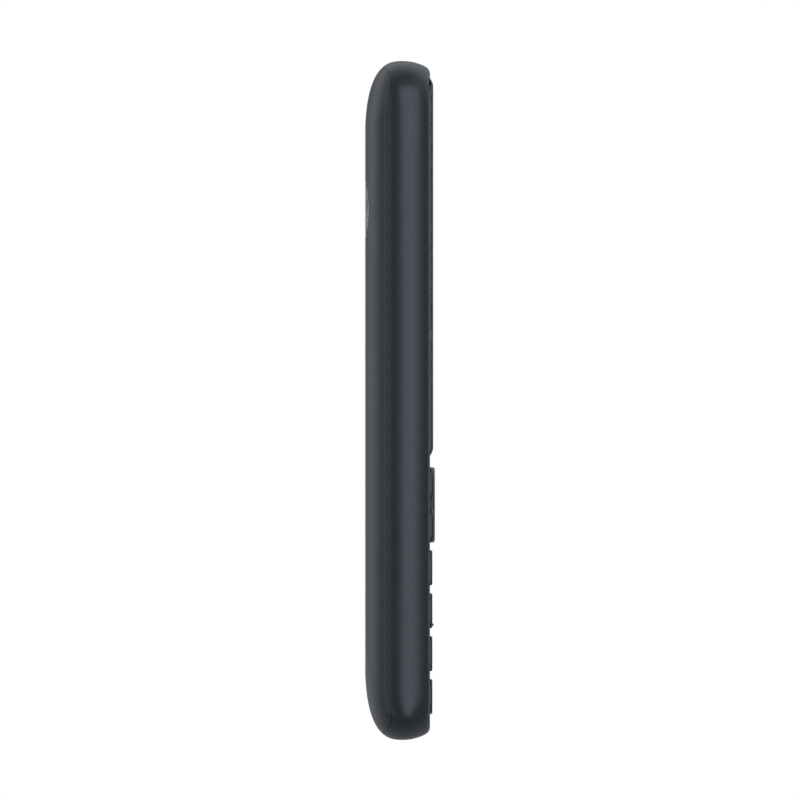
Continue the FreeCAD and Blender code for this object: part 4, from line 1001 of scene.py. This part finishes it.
class PhoneInside(bpy.types.Operator):
    """Finishes what shows when the cover and the battery are off"""

    bl_idname = "phone.inside"
    bl_label = "Inside"

    def execute(self, context):
        finish_nodes("board_laminate", "circuit_board")
        finish_nodes("chip_resin", "processor_chip", "memory_chip", "radio_chip", "power_chip")
        finish_nodes(
            "sheet_metal", "lower_shield_can", "upper_shield_can", "sim_holder_1", "sim_holder_2",
            "memory_card_holder", "vibration_motor", "microphone",
        )
        finish_nodes("soft_rubber", "microphone_boot", "speaker_gasket")
        finish_nodes("screw_steel", "chassis_screws", "vibration_weight")
        finish_nodes("gold_plating", "battery_contacts")
        finish_nodes("loudspeaker_plastic", "loudspeaker", "battery_connector")
        finish_nodes("flex_film", "antenna")
        finish_nodes("battery_sleeve", "battery")
        low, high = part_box("battery")
        edge, above, below = 3 * MM, 9 * MM, 5 * MM
        near = (low.x - 0.02 * MM, low.y + edge, low.z + below)
        far = (low.x + 0.05 * MM, high.y - edge, high.z - above)
        label = plate("battery_label", near, far, corner=1.5 * MM)
        add(label, "battery", "battery_label", "battery_sleeve")
        low.x, low.z = low.x + 1.6 * MM, high.z - 0.1 * MM
        high.x, high.z = high.x - 0.5 * MM, high.z + 0.02 * MM
        pads = contact_row("battery_pads", low, high, count=3, pitch=2.9 * MM, half=MM)
        add(pads, "battery", "gold_plating", "contact_brass")
        add(make_speaker_mesh(), "housing", "grille_metal", "sheet_metal")
        return {"FINISHED"}


def make_speaker_mesh():
    """Fine mesh across the loudspeaker, inside its foam ring."""
    low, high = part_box("speaker_gasket")
    middle, half = low.x * 0.4 + high.x * 0.6, 0.05 * MM
    sides = sides_of("speaker_gasket", middle - half, middle + half, inset=1.1 * MM)
    return perforated("speaker_mesh", *sides, across=26, up=18, bar=0.11 * MM)


class PhoneSockets(bpy.types.Operator):
    """Builds the metal in the headset socket and the charging socket"""

    bl_idname = "phone.sockets"
    bl_label = "Sockets"

    def execute(self, context):
        finish_nodes("chassis_plastic", "headset_socket")
        finish_nodes("socket_plating", "charging_socket")
        finish_nodes("loudspeaker_plastic", "charging_socket_tongue")
        mouth = middle_of("headset_socket")
        mouth.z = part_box("headset_socket")[1].z
        steps = (
            (1.76, -0.5), (2.25, -0.5), (2.25, 0.3), (2.15, 0.42), (1.9, 0.42), (1.76, 0.3), (1.76, -0.5),
        )
        ring = smooth(turned("headset_ring", mouth, steps, along=2))
        add(ring, "housing", "socket_plating", "sheet_metal")
        low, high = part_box("charging_socket_tongue")
        low.x, high.x = low.x - 0.03 * MM, low.x + 0.1 * MM
        low.z, high.z = low.z + 0.1 * MM, high.z - 0.4 * MM
        row = contact_row("charging_contacts", low, high, count=5, pitch=0.65 * MM, half=0.17 * MM)
        add(row, "housing", "gold_plating", "contact_brass")
        return {"FINISHED"}


# The studio

# Middle of the camera's picture, across and up, and the picture's width
PICTURE_MIDDLE = (-0.01 * MM, 65.797 * MM)
PICTURE_WIDTH = 154.82 * MM

COOL_LIGHT = (0.90, 0.93, 1.0)

# The place on the housing's side from which the floor's mirror images are laid out, across and
# towards the camera, and the sectors of floor they fill, each with its rise and its fall in radians
SIDE_SPOT = (1.8 * MM, 25.5 * MM)
STRIP_SECTOR = ((-0.12, -0.05), (0.63, 0.73))
NARROW_SECTOR = ((-1.5, -1.42), (-1.23, -1.15))
NARROW_SHARE = 1.1


class PhoneStage(bpy.types.Operator):
    """Sets up the camera, the floor, the room's light and the lamps"""

    bl_idname = "phone.stage"
    bl_label = "Studio"

    def execute(self, context):
        studio = context.scene.phone_studio
        context.scene.view_settings.view_transform = "Standard"
        clear_selection()
        x, z = PICTURE_MIDDLE
        bpy.ops.object.camera_add(location=(x, -1.0, z), rotation=(math.pi / 2, 0, 0))
        camera = context.object
        camera.name = "side_camera"
        camera.data.type = "ORTHO"
        camera.data.ortho_scale = PICTURE_WIDTH
        camera.data.clip_start = 0.01
        camera.data.clip_end = 20.0
        context.scene.camera = camera
        make_floor(studio)
        light_room(studio)
        lamp("strip_light", studio.strip_light, side=17, height=29, distance=1.2, size=(0.95, 1.4))
        lamp("front_light", studio.front_light, side=95, height=50, distance=1.3, size=(1.2, 1.0))
        lamp("side_light", studio.side_light, side=-76, height=13, distance=1.3, size=(0.35, 1.1))
        return {"FINISHED"}


def make_floor(studio):
    """A pale floor, which shows glossy surfaces the room's light and two lamps' mirror images."""
    clear_selection()
    bpy.ops.mesh.primitive_plane_add(size=6)
    floor = settle("floor")
    tree, shader = new_finish("pale_floor", Specular_IOR_Level=0.1, Roughness=0.9)
    clouds = spread(tree, noise(tree, place_of(tree), 6.0), 0.79, 0.81)
    pale = put(tree, "CombineColor", {0: clouds, 1: clouds, 2: clouds}).outputs[0]
    feed(tree, shader.inputs, Base_Color=pale)
    x, y, _ = put(tree, "SeparateXYZ", {0: place_of(tree)}).outputs
    ahead = maths(tree, "SUBTRACT", -SIDE_SPOT[1], y)
    side = maths(tree, "ARCTAN2", maths(tree, "SUBTRACT", x, SIDE_SPOT[0]), ahead)
    lit = maths(tree, "ADD", fade(tree, side, *STRIP_SECTOR), fade(tree, side, *NARROW_SECTOR, NARROW_SHARE))
    lit = times(tree, lit, spread(tree, ahead, 0.0, 1.0, (0.001, 0.003)))
    far_share, edge = 0.6, (-0.024, -0.022)
    room = spread(tree, y, studio.fill, far_share * studio.backdrop, edge)
    strength = maths(tree, "MAXIMUM", room, times(tree, lit, studio.floor_glow))
    glow = put(tree, "Emission", {"Color": (*COOL_LIGHT, 1.0), "Strength": strength}).outputs[0]
    glossy = put(tree, "LightPath").outputs["Is Glossy Ray"]
    mirrored = put(tree, "MixShader", {0: glossy, 1: shader.outputs[0], 2: glow})
    feed(tree, tree.nodes["Material Output"].inputs, Surface=mirrored.outputs[0])
    finish(floor, "pale_floor")


def light_room(studio):
    """A white backdrop to the camera and through glass, and a room that is darker on the camera's side."""
    world = bpy.data.worlds.new("studio_room")
    bpy.context.scene.world = world
    world.use_nodes = True
    tree = world.node_tree
    _, y, z = put(tree, "SeparateXYZ", {0: put(tree, "TexCoord").outputs["Generated"]}).outputs
    room = spread(tree, y, studio.fill, studio.backdrop, (0.0, 0.42))
    straight_behind = spread(tree, y, 1.0, 0.3, (0.84, 0.94))
    behind, high_up = spread(tree, y, 0.0, studio.sky, (-0.1, 0.4)), spread(tree, z, 0.0, 1.0, (0.1, 0.7))
    sky = times(tree, behind, high_up)
    room = maths(tree, "ADD", times(tree, room, straight_behind), sky)
    path = put(tree, "LightPath").outputs
    seen = maths(tree, "MAXIMUM", path["Is Camera Ray"], path["Is Transmission Ray"])
    strength = put(tree, "Mix", {0: seen, 2: room, 3: 1.0}, data_type="FLOAT").outputs[0]
    cool = blend_colours(tree, seen, (*COOL_LIGHT, 1.0), (1.0, 1.0, 1.0, 1.0))
    feed(tree, tree.nodes["Background"].inputs, Strength=strength, Color=cool)


def lamp(name, power, side, height, distance, size):
    """A soft rectangular lamp, by its angle to the camera's right, its height angle and its distance."""
    turn, rise = math.radians(side), math.radians(height)
    middle = Vector((0, 0, PICTURE_MIDDLE[1]))
    away = Vector((math.sin(turn) * math.cos(rise), -math.cos(turn) * math.cos(rise), math.sin(rise)))
    clear_selection()
    bpy.ops.object.light_add(type="AREA", location=middle + away * distance)
    light = bpy.context.object
    light.name = light.data.name = name
    light.rotation_euler = away.to_track_quat("Z", "Y").to_euler()
    light.data.shape = "RECTANGLE"
    light.data.size, light.data.size_y = size
    light.data.energy = power
    light.data.color = COOL_LIGHT
    light.visible_camera = False


class PhonePanel(bpy.types.Panel):
    """Shows the phone's sizes, colours and lights, and a button for each step that builds its pieces"""

    bl_idname = "VIEW3D_PT_phone"
    bl_label = "Keypad phone"
    bl_space_type = "VIEW_3D"
    bl_region_type = "UI"
    bl_category = "Phone"

    def draw(self, context):
        for name, group in SETTINGS.items():
            for field in group.__annotations__:
                self.layout.prop(getattr(context.scene, name), field)
        for step in STEPS:
            self.layout.operator(step.bl_idname)


STEPS = (
    PhoneFinishes, PhoneShell, PhoneDisplay, PhoneKeys, PhoneCamera, PhoneInside, PhoneSockets, PhoneStage,
)
SETTINGS = {"phone_sizes": PhoneSizes, "phone_colours": PhoneColours, "phone_studio": PhoneStudio}


def register():
    for made in (*SETTINGS.values(), *STEPS, PhonePanel):
        bpy.utils.register_class(made)
    for name, group in SETTINGS.items():
        setattr(bpy.types.Scene, name, PointerProperty(type=group))


def unregister():
    for name in SETTINGS:
        delattr(bpy.types.Scene, name)
    for made in (PhonePanel, *reversed(STEPS), *SETTINGS.values()):
        bpy.utils.unregister_class(made)


def main():
    register()
    bpy.ops.phone.finishes()
    bpy.ops.phone.shell()
    bpy.ops.phone.display()
    bpy.ops.phone.keys()
    bpy.ops.phone.camera()
    bpy.ops.phone.inside()
    bpy.ops.phone.sockets()
    bpy.ops.phone.stage()
    bpy.context.view_layer.update()


if __name__ == "__main__":
    main()
